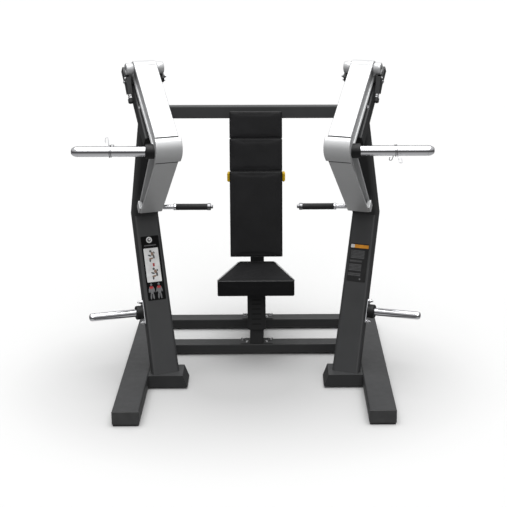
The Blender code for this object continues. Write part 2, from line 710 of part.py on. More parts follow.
# locking pin behind the sleeve
pin = empty("seat_pin_axis", (0, SEAT_POST_Y + SEAT_SLEEVE_W / 2, SLEEVE_Z[0] + 0.075))
pin.parent = seat_axis
pin.location = (0, SEAT_SLEEVE_W / 2, 0.075)
ob = turned([(0, 0.062), (0.010, 0.062), (0.017, 0.055), (0.018, 0.046), (0.014, 0.036), (0.0085, 0.033),
             (0.0085, 0.012), (0.012, 0.011), (0.012, 0.0008), (0.0062, 0.0006), (0.0062, -0.0095), (0, -0.0095)], 24)
ob.rotation_euler = (-math.pi / 2, 0, 0)
keep(ob, "seat_lock_pin", "black_plastic", pin)

# ---------------------------------------------------------------- backrest
back = empty("backrest_axes", (0, BACK_REF[0], BACK_REF[1]), (-BACK_ANG, 0, 0))
rows = (("lower", 0.0, 0.4635, 0.0), ("middle", 0.4650, 0.6370, PAD_STEP), ("upper", 0.6385, 0.7795, 2 * PAD_STEP))
PLATE_Y = 0.082
for nm, a, b, yf in rows:
    ob = cube((BACK_W, PLATE_Y - GAP - yf, b - a))
    ob.location = (0, (PLATE_Y - GAP + yf) / 2, (a + b) / 2)
    bevel(ob, 0.006, 2)
    keep(ob, "backrest_pad_" + nm, "upholstery", back)

ob = cube((0.240, 0.006, 0.730))
ob.location = (0, PLATE_Y + 0.003, 0.387)
bevel(ob, 0.001, 1)
keep(ob, "backrest_plate", "frame", back)


def world_from_back(x, y, z):
    return Matrix.Translation((0, BACK_REF[0], BACK_REF[1])) @ Matrix.Rotation(-BACK_ANG, 4, "X") @ Vector((x, y, z))


# two carriage tubes: they telescope into the post, so the backrest slides fore and aft
for nm, z in (("lower", 0.150), ("upper", 0.640)):
    p = world_from_back(0, PLATE_Y + 0.006 + GAP, z)
    ob = cube((1, 1, 1))
    tn = math.tan(BACK_ANG)
    y_in = POST_FRONT + BACKPOST_W - WALL - 0.004
    for v in ob.data.vertices:
        zz = p.z + (0.022 if v.co.z > 0 else -0.022)
        yy = y_in if v.co.y > 0 else p.y + (zz - p.z) * tn + GAP
        v.co = Vector((0.022 if v.co.x > 0 else -0.022, yy, zz))
    open_faces(ob, lambda f: f.normal.y > 0.9)
    bevel(ob, 0.004, 2)
    shell(ob, 0.003)
    keep(ob, "backrest_slide_" + nm, "brushed")
    slot = cube((0.048, 0.030, 0.048))
    slot.location = (0, POST_FRONT, p.z)
    cutter(slot, post)

# yellow adjusting lever: a cross bar behind the plate with two paddles
lv = world_from_back(0, PLATE_Y + 0.026, 0.426)
lever = empty("lever_axis", (0, lv.y, lv.z), (-BACK_ANG, 0, 0))
LEVER_HALF = 0.153
bar = cube((2 * LEVER_HALF, 0.014, 0.014))
bevel(bar, 0.002, 1)
for sx in (-1, 1):
    # paddle: reaches forward beside the pads
    pd = cube((0.012, 0.070, 0.048), (sx * (LEVER_HALF - 0.006), -0.026, 0.0))
    pd.parent = lever
    bevel(pd, 0.003, 1)
    joined(bar, pd)
keep(bar, "backrest_release_lever", "yellow", lever)
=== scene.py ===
import bpy
import bmesh
import math
import numpy as np
from mathutils import Matrix, Vector
from mathutils.bvhtree import BVHTree


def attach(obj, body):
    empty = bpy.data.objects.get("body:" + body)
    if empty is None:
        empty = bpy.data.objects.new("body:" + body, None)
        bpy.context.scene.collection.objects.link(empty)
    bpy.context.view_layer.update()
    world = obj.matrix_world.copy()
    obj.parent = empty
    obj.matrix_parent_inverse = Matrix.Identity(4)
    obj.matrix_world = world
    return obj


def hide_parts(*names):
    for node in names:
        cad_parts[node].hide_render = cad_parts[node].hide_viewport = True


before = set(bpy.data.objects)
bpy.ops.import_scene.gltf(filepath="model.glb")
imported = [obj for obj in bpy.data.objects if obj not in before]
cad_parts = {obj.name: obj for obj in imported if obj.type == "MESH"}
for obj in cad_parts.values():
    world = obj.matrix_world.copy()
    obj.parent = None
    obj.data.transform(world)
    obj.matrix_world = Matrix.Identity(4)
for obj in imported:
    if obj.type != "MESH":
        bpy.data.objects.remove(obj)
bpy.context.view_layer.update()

scene = bpy.context.scene
COL = scene.collection
YAW = math.radians(20.0)
PIVOT = (0.234, 1.575)
SIDES = (("left", -1), ("right", 1))


# ------------------------------------------------------------------ materials
def principled(name, base, rough, metal, spec=0.5, coat=0.0, coat_rough=0.2, sheen=0.0):
    m = bpy.data.materials.new(name)
    m.use_nodes = True
    b = m.node_tree.nodes["Principled BSDF"]
    b.inputs["Base Color"].default_value = (*base, 1)
    b.inputs["Roughness"].default_value = rough
    b.inputs["Metallic"].default_value = metal
    b.inputs["Specular IOR Level"].default_value = spec
    b.inputs["Coat Weight"].default_value = coat
    b.inputs["Coat Roughness"].default_value = coat_rough
    b.inputs["Sheen Weight"].default_value = sheen
    return m, m.node_tree.nodes, m.node_tree.links, b


def coords(n, l, scale=(1, 1, 1)):
    tc = n.new("ShaderNodeTexCoord")
    mp = n.new("ShaderNodeMapping")
    mp.inputs["Scale"].default_value = scale
    l.new(tc.outputs["Object"], mp.inputs["Vector"])
    return mp.outputs["Vector"]


def noise(n, l, vec, scale, detail=3.0, rough=0.5):
    t = n.new("ShaderNodeTexNoise")
    t.inputs["Scale"].default_value = scale
    t.inputs["Detail"].default_value = detail
    t.inputs["Roughness"].default_value = rough
    l.new(vec, t.inputs["Vector"])
    return t.outputs["Fac"]


def ramp(n, l, fac, stops):
    r = n.new("ShaderNodeValToRGB")
    els = r.color_ramp.elements
    while len(els) < len(stops):
        els.new(0.5)
    for e, (p, c) in zip(els, stops):
        e.position = p
        e.color = (*c, 1) if len(c) == 3 else c
    l.new(fac, r.inputs["Fac"])
    return r.outputs["Color"]


def spread(n, l, fac, lo, hi):
    r = n.new("ShaderNodeMapRange")
    r.inputs["From Min"].default_value = 0.3
    r.inputs["From Max"].default_value = 0.7
    r.inputs["To Min"].default_value = lo
    r.inputs["To Max"].default_value = hi
    l.new(fac, r.inputs["Value"])
    return r.outputs["Result"]


def bump(n, l, height, strength, distance, normal=None):
    b = n.new("ShaderNodeBump")
    b.inputs["Strength"].default_value = strength
    b.inputs["Distance"].default_value = distance
    l.new(height, b.inputs["Height"])
    if normal is not None:
        l.new(normal, b.inputs["Normal"])
    return b.outputs["Normal"]


def paint(name, base, rough, metal=0.0, coat=0.0, peel=0.10, dust=0.10, spec=0.5):
    """Powder coat: orange peel, slight tone drift and roughness drift."""
    m, n, l, b = principled(name, base, rough, metal, spec=spec, coat=coat)
    v = coords(n, l)
    tone = noise(n, l, v, 5.0, 4.0, 0.6)
    lo = tuple(c * (1 - dust) for c in base)
    hi = tuple(min(1.0, c * (1 + dust)) for c in base)
    l.new(ramp(n, l, tone, [(0.30, lo), (0.70, hi)]), b.inputs["Base Color"])
    l.new(spread(n, l, noise(n, l, v, 24.0, 3.0, 0.6), rough - 0.05, rough + 0.06), b.inputs["Roughness"])
    n1 = bump(n, l, noise(n, l, v, 420.0, 2.0, 0.5), peel, 0.0006)
    n2 = bump(n, l, noise(n, l, v, 1900.0, 2.0, 0.5), peel * 0.6, 0.0002, n1)
    l.new(n2, b.inputs["Normal"])
    return m


def bright_metal(name, base, rough, axis=0, line=0.15):
    """Turned or plated metal with fine lines around its axis."""
    m, n, l, b = principled(name, base, rough, 1.0)
    sc = [14.0, 14.0, 14.0]
    sc[axis] = 900.0
    v = coords(n, l, tuple(sc))
    fac = noise(n, l, v, 1.0, 2.0, 0.5)
    l.new(spread(n, l, fac, max(0.02, rough - 0.03), rough + 0.05), b.inputs["Roughness"])
    l.new(bump(n, l, fac, line, 0.0001), b.inputs["Normal"])
    v2 = coords(n, l)
    l.new(ramp(n, l, noise(n, l, v2, 9.0, 4.0), [(0.3, tuple(c * 0.93 for c in base)), (0.7, base)]), b.inputs["Base Color"])
    return m


def moulded(name, base, rough, grain=900.0, depth=0.0002, strength=0.25, spec=0.22):
    m, n, l, b = principled(name, base, rough, 0.0, spec=spec)
    v = coords(n, l)
    l.new(ramp(n, l, noise(n, l, v, 30.0, 3.0), [(0.3, tuple(c * 0.85 for c in base)), (0.7, tuple(c * 1.15 for c in base))]), b.inputs["Base Color"])
    l.new(spread(n, l, noise(n, l, v, 60.0, 2.0), rough - 0.06, rough + 0.06), b.inputs["Roughness"])
    l.new(bump(n, l, noise(n, l, v, grain, 3.0, 0.6), strength, depth), b.inputs["Normal"])
    return m


def leather(name, base, rough, spec=0.16):
    """Synthetic leather: cell grain, fine pores, broad wrinkle and a soft sheen."""
    m, n, l, b = principled(name, base, rough, 0.0, spec=spec, sheen=0.02)
    b.inputs["Sheen Roughness"].default_value = 0.4
    v = coords(n, l)
    vo = n.new("ShaderNodeTexVoronoi")
    vo.feature = "DISTANCE_TO_EDGE"
    vo.inputs["Scale"].default_value = 480.0
    vo.inputs["Randomness"].default_value = 1.0
    l.new(v, vo.inputs["Vector"])
    cells = n.new("ShaderNodeMapRange")
    cells.inputs["From Max"].default_value = 0.25
    l.new(vo.outputs["Distance"], cells.inputs["Value"])
    n0 = bump(n, l, noise(n, l, v, 22.0, 2.0, 0.5), 0.18, 0.003)
    n1 = bump(n, l, cells.outputs["Result"], 0.35, 0.0004, n0)
    n2 = bump(n, l, noise(n, l, v, 2400.0, 2.0), 0.15, 0.0002, n1)
    l.new(n2, b.inputs["Normal"])
    l.new(ramp(n, l, noise(n, l, v, 7.0, 4.0, 0.6), [(0.3, tuple(c * 0.82 for c in base)), (0.7, tuple(c * 1.18 for c in base))]), b.inputs["Base Color"])
    l.new(spread(n, l, noise(n, l, v, 40.0, 3.0), rough - 0.06, rough + 0.06), b.inputs["Roughness"])
    return m


M_FRAME = paint("charcoal_powder_coat", (0.0192, 0.0196, 0.0203), 0.46, 0.0, peel=0.12, spec=0.24)
M_CAPS = moulded("dark_grey_cap", (0.0310, 0.0313, 0.0318), 0.50, 700.0, 0.0002, 0.25, 0.30)
M_BASE = paint("charcoal_powder_coat_low", (0.0190, 0.0193, 0.0198), 0.48, 0.0, peel=0.12, spec=0.20)
# lighter copy of the frame coat for the top crossbar: painted light, standing in for the stronger light on it from
# above
M_TOP_LIGHTENED = paint("charcoal_powder_coat_top_painted_light", (0.0360, 0.0365, 0.0372), 0.46, 0.0, peel=0.12, spec=0.24)
M_SLEEVE = paint("black_powder_coat", (0.0150, 0.0152, 0.0156), 0.52, 0.0, peel=0.12, spec=0.14)
M_SILVER = paint("silver_enamel", (0.352, 0.355, 0.359), 0.34, 0.20, coat=0.20, peel=0.05, dust=0.03)
M_CHROME = bright_metal("chrome_plate_turned", (0.56, 0.56, 0.58), 0.12, 0, 0.03)
M_CLIP = bright_metal("spring_wire", (0.30, 0.30, 0.31), 0.30, 0, 0.05)
M_STEEL = bright_metal("machined_steel", (0.50, 0.50, 0.51), 0.26, 0, 0.3)
M_ZINC = bright_metal("zinc_fasteners", (0.52, 0.52, 0.53), 0.30, 2, 0.2)
M_PLASTIC = moulded("black_nylon", (0.0075, 0.0075, 0.0078), 0.45, spec=0.14)
M_RUBBER = moulded("black_rubber", (0.0085, 0.0085, 0.009), 0.68, 500.0, 0.0004, 0.35, 0.35)
M_GRIP = moulded("black_grip_rubber", (0.0080, 0.0080, 0.0085), 0.60, 700.0, 0.0005, 0.4, 0.25)
M_PAD = leather("black_synthetic_leather", (0.0092, 0.0092, 0.0098), 0.50)
M_SEAT = leather("black_synthetic_leather_seat", (0.0060, 0.0060, 0.0064), 0.60, 0.05)
M_SEAM = moulded("seam_welt", (0.0075, 0.0075, 0.008), 0.6, 1200.0, 0.0003, 0.4)
M_THREAD = moulded("stitch_thread", (0.016, 0.016, 0.017), 0.7, 1500.0, 0.0002, 0.4)
M_HEADLINE = moulded("grey_line", (0.24, 0.24, 0.24), 0.4, 2000.0, 0.0001, 0.1)
M_YELLOW = moulded("yellow_moulding", (0.50, 0.325, 0.008), 0.42)
# near-black for the elbow seam slabs and the axle socket plugs: painted shade in seams and sockets
M_RECESS_SHADE = moulded("recess_shade_black", (0.006, 0.006, 0.006), 0.7)
M_LABEL = moulded("label_black", (0.0022, 0.0022, 0.0023), 0.50, 2000.0, 0.0001, 0.1, 0.04)
M_LABEL_LIGHT = moulded("label_light", (0.40, 0.40, 0.40), 0.36, 2000.0, 0.0001, 0.1)
M_LABEL_WHITE = moulded("label_white", (0.33, 0.33, 0.33), 0.36, 2000.0, 0.0001, 0.1)
M_LABEL_GREY = moulded("label_grey", (0.055, 0.055, 0.057), 0.36, 2000.0, 0.0001, 0.1)
M_LABEL_SOFT = moulded("label_charcoal", (0.0105, 0.0105, 0.0108), 0.50, 2000.0, 0.0001, 0.1, 0.10)
# cord lighter than the seat leather: painted highlight along the seat's top edge; its gloss also catches the lamps for
# real
M_WELT_LIGHTENED = moulded("welt_cord_painted_highlight", (0.020, 0.020, 0.021), 0.34, 1200.0, 0.0002, 0.2, 0.55)
M_NUT = bright_metal("dark_nut", (0.14, 0.14, 0.145), 0.28, 0, 0.05)
M_LABEL_MID = moulded("label_mid", (0.085, 0.085, 0.088), 0.36, 2000.0, 0.0001, 0.1)
M_LABEL_DIM = moulded("label_dim", (0.022, 0.022, 0.0225), 0.36, 2000.0, 0.0001, 0.1)
M_LABEL_RED = moulded("label_red", (0.22, 0.018, 0.020), 0.36, 2000.0, 0.0001, 0.1)
M_LABEL_ORANGE = moulded("label_orange", (0.38, 0.155, 0.010), 0.36, 2000.0, 0.0001, 0.1)
M_LABEL_BROWN = moulded("label_tan", (0.15, 0.10, 0.075), 0.36, 2000.0, 0.0001, 0.1)


# -------------------------------------------------------------------- helpers
def side_matrix(s):
    return Matrix.Translation((s * 0.452, -0.188, 0)) @ Matrix.Rotation(-s * YAW, 4, "Z")


def P(s, u, h, z):
    """World point of (inward u, backward h, up z) in a side frame's own plane."""
    return side_matrix(s) @ Vector((-s * u, h, z))


def side_dir(s, u, h, z):
    m = side_matrix(s).to_3x3()
    return (m @ Vector((-s * u, h, z))).normalized()


def add(name, me, mat, body, cad=(), smooth=30.0, bev=None, seg=3, sub=0):
    ob = bpy.data.objects.new(name, me)
    COL.objects.link(ob)
    me.materials.clear()
    me.materials.append(mat)
    if smooth:
        me.shade_smooth()
        me.set_sharp_from_angle(angle=math.radians(smooth))
    if bev:
        b = ob.modifiers.new("round", "BEVEL")
        b.width = bev
        b.segments = seg
        b.limit_method = "ANGLE"
        b.angle_limit = math.radians(28)
        b.harden_normals = False
        b.use_clamp_overlap = True
        w = ob.modifiers.new("normals", "WEIGHTED_NORMAL")
        w.keep_sharp = False
        w.weight = 60
    if sub:
        sm = ob.modifiers.new("sub", "SUBSURF")
        sm.levels = sub
        sm.render_levels = sub
    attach(ob, body)
    if cad:
        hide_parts(*cad)
    return ob


def mesh_of(bm, name):
    bmesh.ops.recalc_face_normals(bm, faces=bm.faces[:])
    me = bpy.data.meshes.new(name)
    bm.to_mesh(me)
    bm.free()
    return me


def box_bm(size, matrix=None, centre=(0, 0, 0)):
    bm = bmesh.new()
    bmesh.ops.create_cube(bm, size=1.0)
    for v in bm.verts:
        v.co = Vector((v.co.x * size[0] + centre[0], v.co.y * size[1] + centre[1], v.co.z * size[2] + centre[2]))
    if matrix is not None:
        bm.transform(matrix)
    return bm


def turned(profile, steps=56, matrix=None):
    """Closed lathe body about +Z.  Profile is (radius, height); ends on the axis or closes on itself."""
    bm = bmesh.new()
    closed = profile[0][0] > 1e-6
    rings = []
    for r, z in profile:
        if r < 1e-6:
            rings.append([bm.verts.new((0, 0, z))])
        else:
            rings.append([bm.verts.new((r * math.cos(2 * math.pi * k / steps), r * math.sin(2 * math.pi * k / steps), z))
                          for k in range(steps)])
    pairs = list(zip(rings[:-1], rings[1:]))
    if closed:
        pairs.append((rings[-1], rings[0]))
    for a, b in pairs:
        for k in range(steps):
            j = (k + 1) % steps
            if len(a) == 1 and len(b) == 1:
                continue
            if len(a) == 1:
                bm.faces.new((a[0], b[k], b[j]))
            elif len(b) == 1:
                bm.faces.new((a[k], b[0], a[j]))
            else:
                bm.faces.new((a[k], b[k], b[j], a[j]))
    if matrix is not None:
        bm.transform(matrix)
    return bm


def basis(origin, axis, ref=(0, 0, 1)):
    """Matrix whose +Z is axis and whose +X lies towards ref."""
    z = Vector(axis).normalized()
    x = Vector(ref) - z * Vector(ref).dot(z)
    if x.length < 1e-6:
        x = Vector((1, 0, 0)) - z * z.x
    x.normalize()
    y = z.cross(x)
    m = Matrix((x, y, z)).transposed().to_4x4()
    m.translation = Vector(origin)
    return m


def merge(bms, name):
    """Several bmeshes in one mesh."""
    out = bmesh.new()
    for b in bms:
        tmp = bpy.data.meshes.new("tmp")
        bmesh.ops.recalc_face_normals(b, faces=b.faces[:])
        b.to_mesh(tmp)
        b.free()
        out.from_mesh(tmp)
        bpy.data.meshes.remove(tmp)
    me = bpy.data.meshes.new(name)
    out.to_mesh(me)
    out.free()
    return me


def hex_bolt(m, af=0.016, head=0.0065, washer=0.0105, wt=0.0018, socket=False):
    """Bolt head with washer, standing on the plane z = 0 of m."""
    parts = []
    parts.append(turned([(0, wt), (washer - 0.0008, wt), (washer, wt * 0.6), (washer, 0), (0, 0)], 36, m))
    if socket:
        r = af * 0.56
        parts.append(turned([(0, wt + head * 0.45), (r * 0.48, wt + head * 0.45), (r * 0.50, wt + head - 0.0003), (r * 0.86, wt + head),
                             (r, wt + head * 0.82), (r, wt * 0.9), (0, wt * 0.9)], 36, m))
    else:
        bm = bmesh.new()
        r = af / 2 / math.cos(math.pi / 6)
        lo, mid, hi = [], [], []
        for k in range(6):
            a = math.pi / 3 * k + math.pi / 6
            lo.append(bm.verts.new((r * math.cos(a), r * math.sin(a), wt * 0.9)))
            mid.append(bm.verts.new((r * math.cos(a), r * math.sin(a), wt + head * 0.86)))
            hi.append(bm.verts.new((r * 0.86 * math.cos(a), r * 0.86 * math.sin(a), wt + head)))
        for k in range(6):
            j = (k + 1) % 6
            bm.faces.new((lo[k], lo[j], mid[j], mid[k]))
            bm.faces.new((mid[k], mid[j], hi[j], hi[k]))
        bm.faces.new(hi)
        bm.faces.new(lo[::-1])
        bm.transform(m)
        parts.append(bm)
    return parts


def side_solid(pts, u0, u1, s, recess=None, outer_only=False):
    """Outline in (h, z) of a side frame, from u0 to u1 inward, with sunk side panels."""
    bm = bmesh.new()
    rings = []
    for u in (u0, u1):
        rings.append([bm.verts.new(P(s, u, p[0], p[1])) for p in pts])
    nn = len(pts)
    for k in range(nn):
        j = (k + 1) % nn
        bm.faces.new((rings[0][k], rings[0][j], rings[1][j], rings[1][k]))
    outer = bm.faces.new(rings[0])
    inner = bm.faces.new(rings[1])
    bmesh.ops.recalc_face_normals(bm, faces=bm.faces[:])
    if recess:
        margin, slope, depth = recess
        faces = [outer] if outer_only else [outer, inner]
        for f in faces:
            bmesh.ops.inset_region(bm, faces=[f], thickness=margin, use_even_offset=True)
            bmesh.ops.inset_region(bm, faces=[f], thickness=slope, depth=-depth, use_even_offset=True)
    return bm


def panel(corners, thick, name, mat, body, bev=0.0006):
    """Thin plate on a face: corners in order, thickness along their normal."""
    c = [Vector(p) for p in corners]
    nrm = (c[1] - c[0]).cross(c[2] - c[0]).normalized()
    bm = bmesh.new()
    a = [bm.verts.new(p) for p in c]
    b = [bm.verts.new(p + nrm * thick) for p in c]
    k = len(c)
    bm.faces.new(b)
    bm.faces.new(a[::-1])
    for i in range(k):
        j = (i + 1) % k
        bm.faces.new((a[i], a[j], b[j], b[i]))
    return add(name, mesh_of(bm, name), mat, body, bev=bev, seg=2)


# --------------------------------------------------- carried-over CAD finishes
FINISH = {}
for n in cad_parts:
    m = M_FRAME
    if any(k in n for k in ("arm_upper", "elbow_cover", "arm_lower", "pivot_axle")):
        m = M_SILVER
    elif "slide" in n and "skid" not in n:
        m = M_STEEL
    elif "_cap" in n:
        m = M_CAPS
    elif any(k in n for k in ("collar", "lock_pin")):
        m = M_PLASTIC
    elif "seat_sleeve" in n or "seat_post" in n:
        m = M_SLEEVE
    elif "top_crossbar" in n:
        # top crossbar takes the lightened copy of the frame coat: painted light
        m = M_TOP_LIGHTENED
    elif any(k in n for k in ("foot_box", "front_crossbar", "rear_crossbar", "centre_spine")):
        m = M_BASE
    elif any(k in n for k in ("horn", "handle_rod", "storage_peg", "spring_clip")):
        m = M_CHROME
    elif "rubber" in n or "bumper" in n:
        m = M_RUBBER
    elif "grip" in n:
        m = M_GRIP
    elif "pad" in n:
        m = M_PAD
    elif "lever" in n:
        m = M_YELLOW
    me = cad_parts[n].data
    me.materials.clear()
    me.materials.append(m)


# ----------------------------------------------------------------------- arms
ARM_DIR = Vector((-0.789, -0.614)).normalized()
ARM_DOWN = Vector((0.614, -0.789)).normalized()
TOP0 = Vector((0.216, 1.605))
ARM_W, ARM_D, SEAM = 0.112, 0.088, 0.480
LOWER_A, LOWER_B = Vector((-0.150, 1.191)), Vector((0.193, 0.857))
A_DIR = (LOWER_B - LOWER_A).normalized()
A_IN = Vector((-A_DIR.y, A_DIR.x))
if A_IN.x < 0:
    A_IN = -A_IN
ELBOW_T, ELBOW_R = (-0.060, 0.066), 0.066
HORN_Y, HORN_Z, HORN_R, HORN_TIP, COLLAR_X = -0.331, 1.244, 0.0245, 0.842, 0.497
HANDLE_Y, HANDLE_Z = 0.010, 0.881


def elbow_outline():
    g = 0.0006
    u1 = TOP0 + ARM_DIR * (SEAM + g) - ARM_DOWN * 0.003
    l1 = LOWER_A - A_DIR * g - A_IN * 0.003
    d1, d2 = ARM_DIR, -A_DIR
    det = d1.x * (-d2.y) - d1.y * (-d2.x)
    w = l1 - u1
    t = (w.x * (-d2.y) - w.y * (-d2.x)) / det
    corner = u1 + d1 * t
    turn = math.acos(max(-1, min(1, d1.dot(-d2))))
    tl = ELBOW_R * math.tan(turn / 2)
    p_in, p_out = corner - d1 * tl, corner - d2 * tl
    centre = p_in + ARM_DOWN * ELBOW_R
    a0 = math.atan2(p_in.y - centre.y, p_in.x - centre.x)
    a1 = math.atan2(p_out.y - centre.y, p_out.x - centre.x)
    if a1 < a0:
        a1 += 2 * math.pi
    arc = [centre + ELBOW_R * Vector((math.cos(a0 + (a1 - a0) * k / 24), math.sin(a0 + (a1 - a0) * k / 24)))
           for k in range(25)]
    return [u1] + arc + [l1, Vector((-0.1105, 1.2368))]


for side, s in SIDES:
    body = side + "_arm"
    # upper arm with sunk side channels and a rounded head
    c = TOP0 + ARM_DOWN * (ARM_D / 2)
    along = (Vector(PIVOT) - TOP0).dot(ARM_DIR)
    pts = []
    for k in range(0, 17):
        a = math.pi * k / 16
        pts.append(c + ARM_DIR * along + (ARM_DOWN * math.cos(a) - ARM_DIR * math.sin(a)) * (ARM_D / 2))
    pts.append(TOP0 + ARM_DIR * SEAM)
    pts.append(TOP0 + ARM_DIR * SEAM + ARM_DOWN * ARM_D)
    bm = side_solid(pts, -ARM_W / 2, ARM_W / 2, s, (0.011, 0.003, 0.010))
    add(side + "_arm_upper_shell", mesh_of(bm, "arm_upper"), M_SILVER, body,
        (side + "_arm_upper",), bev=0.0048, seg=4)
    # shallow raised line across the top face, near the head
    q = []
    for u, d in ((-0.051, 0.0125), (0.051, 0.0125), (0.051, 0.0165), (-0.051, 0.0165)):
        p = TOP0 + ARM_DIR * d - ARM_DOWN * 0.0001
        q.append(P(s, u, p.x, p.y))
    nrm = (q[1] - q[0]).cross(q[2] - q[0])
    if nrm.dot(side_dir(s, 0, -ARM_DOWN.x, -ARM_DOWN.y)) < 0:
        q = q[::-1]
    panel(q, 0.0005, side + "_arm_head_line", M_HEADLINE, body, bev=0.0001)

    bm = side_solid(elbow_outline(), ELBOW_T[0], ELBOW_T[1], s)
    add(side + "_elbow_cover_shell", mesh_of(bm, "elbow"), M_SILVER, body,
        (side + "_elbow_cover",), bev=0.007, seg=5)

    pts = [LOWER_A, LOWER_B, LOWER_B + A_IN * 0.046, LOWER_A + A_IN * 0.095]
    bm = side_solid(pts, -ARM_W / 2, ARM_W / 2, s, (0.0075, 0.003, 0.030))
    add(side + "_arm_lower_shell", mesh_of(bm, "arm_lower"), M_SILVER, body,
        (side + "_arm_lower",), bev=0.0035)

    # solid end lug on the outer side, at the handle end
    e0 = LOWER_B + A_IN * 0.002 - A_DIR * 0.001
    lug = [e0, e0 + A_IN * 0.041, e0 + A_IN * 0.047 - A_DIR * 0.046, e0 - A_DIR * 0.046]
    bm = side_solid(lug, -0.066, -0.044, s)
    add(side + "_arm_end_lug", mesh_of(bm, "lug"), M_SILVER, body, bev=0.004, seg=4)

    # elbow seams: dark slabs between cover and arm, painted shade in the seam gaps
    for nm, p0, d, off in (("upper", TOP0 + ARM_DIR * (SEAM - 0.0012), ARM_DIR, -ARM_DOWN),
                           ("lower", LOWER_A + A_DIR * 0.0012, -A_DIR, -A_IN)):
        a = p0 + off * 0.0006
        g = [a - d * 0.0058, a + d * 0.0010, a + d * 0.0010 - off * 0.012, a - d * 0.0058 - off * 0.012]
        bm = side_solid(g, -0.0545, 0.0545, s)
        add(side + "_elbow_seam_" + nm, mesh_of(bm, "seam"), M_RECESS_SHADE, body, smooth=30)

    # weight horn
    m = basis((s * (COLLAR_X + 0.0004), HORN_Y, HORN_Z), (s, 0, 0))
    ln = HORN_TIP - COLLAR_X - 0.0004
    prof = [(0, ln - 0.0010), (0.0075, ln - 0.0010), (0.0080, ln - 0.0002), (0.0105, ln - 0.0006), (0.0145, ln - 0.0032),
            (0.0178, ln - 0.0072), (0.0205, ln - 0.0120), (0.0226, ln - 0.0172), (0.0239, ln - 0.0222), (HORN_R, ln - 0.0270),
            (HORN_R, ln - 0.0300), (HORN_R - 0.0008, ln - 0.0306), (HORN_R - 0.0008, ln - 0.0322), (HORN_R, ln - 0.0328),
            (HORN_R, 0.0), (0, 0.0)]
    add(side + "_weight_horn_turned", mesh_of(turned(prof, 72, m), "horn"), M_CHROME, body,
        (side + "_weight_horn",), smooth=28)

    # handle: rod, ring, grip and end cap
    n_in = Vector((-s * math.cos(YAW), math.sin(YAW), 0))
    p0 = Vector((s * 0.452, -0.188, 0)) + n_in * (ARM_W / 2 + 0.0004)
    xf = abs(p0.x - (HANDLE_Y - p0.y) * n_in.y / n_in.x) - 0.0046
    m = basis((s * xf, HANDLE_Y, HANDLE_Z), (-s, 0, 0))
    g0, g1, g2 = 0.4077, 0.3952, 0.2352
    e = xf - 0.2102
    prof = [(0, e), (0.0060, e), (0.0082, e - 0.0012), (0.0090, e - 0.0030), (0.0090, xf - 0.2200), (0.0150, xf - 0.2212),
            (0.0172, xf - 0.2226), (0.0175, xf - 0.2250), (0.0175, xf - g2 - 0.0016), (0.0165, xf - g2 + 0.0002),
            (0, xf - g2 + 0.0002)]
    add(side + "_handle_end_nut", mesh_of(turned(prof, 48, m), "nut"), M_NUT, body, smooth=28)
    prof = [(0, xf - g2 + 0.0001), (0.0105, xf - g2 + 0.0001), (0.0105, xf - g2 + 0.0004), (0.0105, xf - g1 - 0.0004), (0.0160, xf - g1 - 0.0006), (0.0166, xf - g1 - 0.0030),
            (0.0166, xf - g0 + 0.0030), (0.0158, xf - g0 + 0.0006), (0.0115, xf - g0), (0.0115, 0), (0, 0)]
    add(side + "_handle_rod_turned", mesh_of(turned(prof, 48, m), "rod"), M_CHROME, body,
        (side + "_handle_rod",), smooth=28)
    l0, l1 = xf - g1 + 0.0004, xf - g2 - 0.0004
    prof = [(0.0112, l1), (0.0148, l1), (0.0160, l1 - 0.0014), (0.0160, l1 - 0.008)]
    k = l1 - 0.010
    while k > l0 + 0.012:
        prof += [(0.0155, k), (0.0155, k - 0.0011), (0.0160, k - 0.0017), (0.0160, k - 0.0040)]
        k -= 0.0050
    prof += [(0.0160, l0 + 0.0016), (0.0148, l0), (0.0112, l0)]
    add(side + "_grip_ribbed", mesh_of(turned(prof, 48, m), "grip"), M_GRIP, body,
        (side + "_grip",), smooth=40)

    # spring clip: one round wire, a coil with two finger loops
    turns, wr = 1.75, 0.0019
    rr = HORN_R + wr + 0.0007
    up = 1 if side == "left" else -1
    lead = math.radians(38)
    steps = 26
    nn = int(turns * steps)
    coil = []
    for k in range(nn + 1):
        f = k / nn
        a = lead + f * turns * 2 * math.pi
        coil.append(Vector(((f - 0.5) * 0.0125, rr * math.sin(a), rr * math.cos(a))))

    def loop(p, xd):
        out = Vector((0, p.y, p.z)).normalized()
        tan = Vector((xd, 0, 0))
        base = [(0.0, 0.0), (0.012, 0.002), (0.026, 0.004), (0.038, 0.0055), (0.0438, 0.0085), (0.0456, 0.013),
                (0.0438, 0.0172), (0.038, 0.0188), (0.028, 0.0182), (0.018, 0.017)]
        return [p + out * a_ + tan * b_ for a_, b_ in base[1:]]

    pts3 = list(reversed(loop(coil[0], -1))) + coil + loop(coil[-1], 1)
    cu = bpy.data.curves.new(side + "_clip", "CURVE")
    cu.dimensions = "3D"
    cu.bevel_depth = wr
    cu.bevel_resolution = 4
    cu.use_fill_caps = True
    sp = cu.splines.new("POLY")
    sp.points.add(len(pts3) - 1)
    for a_, p in zip(sp.points, pts3):
        a_.co = (p.x, p.y, up * p.z, 1)
    sp.use_smooth = True
    cu.materials.append(M_CLIP)
    ob = bpy.data.objects.new(side + "_spring_clip_wire", cu)
    COL.objects.link(ob)
    ob.matrix_world = Matrix.Translation((s * 0.662, HORN_Y, HORN_Z))
    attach(ob, side + "_clip")
    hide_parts(side + "_spring_clip")


# ------------------------------------------------------------ pivots and beams
BEAM_ANG = math.radians(42.0)
BEAM_REF = Vector((0.227, 1.4275))
BU = Vector((math.cos(BEAM_ANG), math.sin(BEAM_ANG)))
BN = Vector((-math.sin(BEAM_ANG), math.cos(BEAM_ANG)))


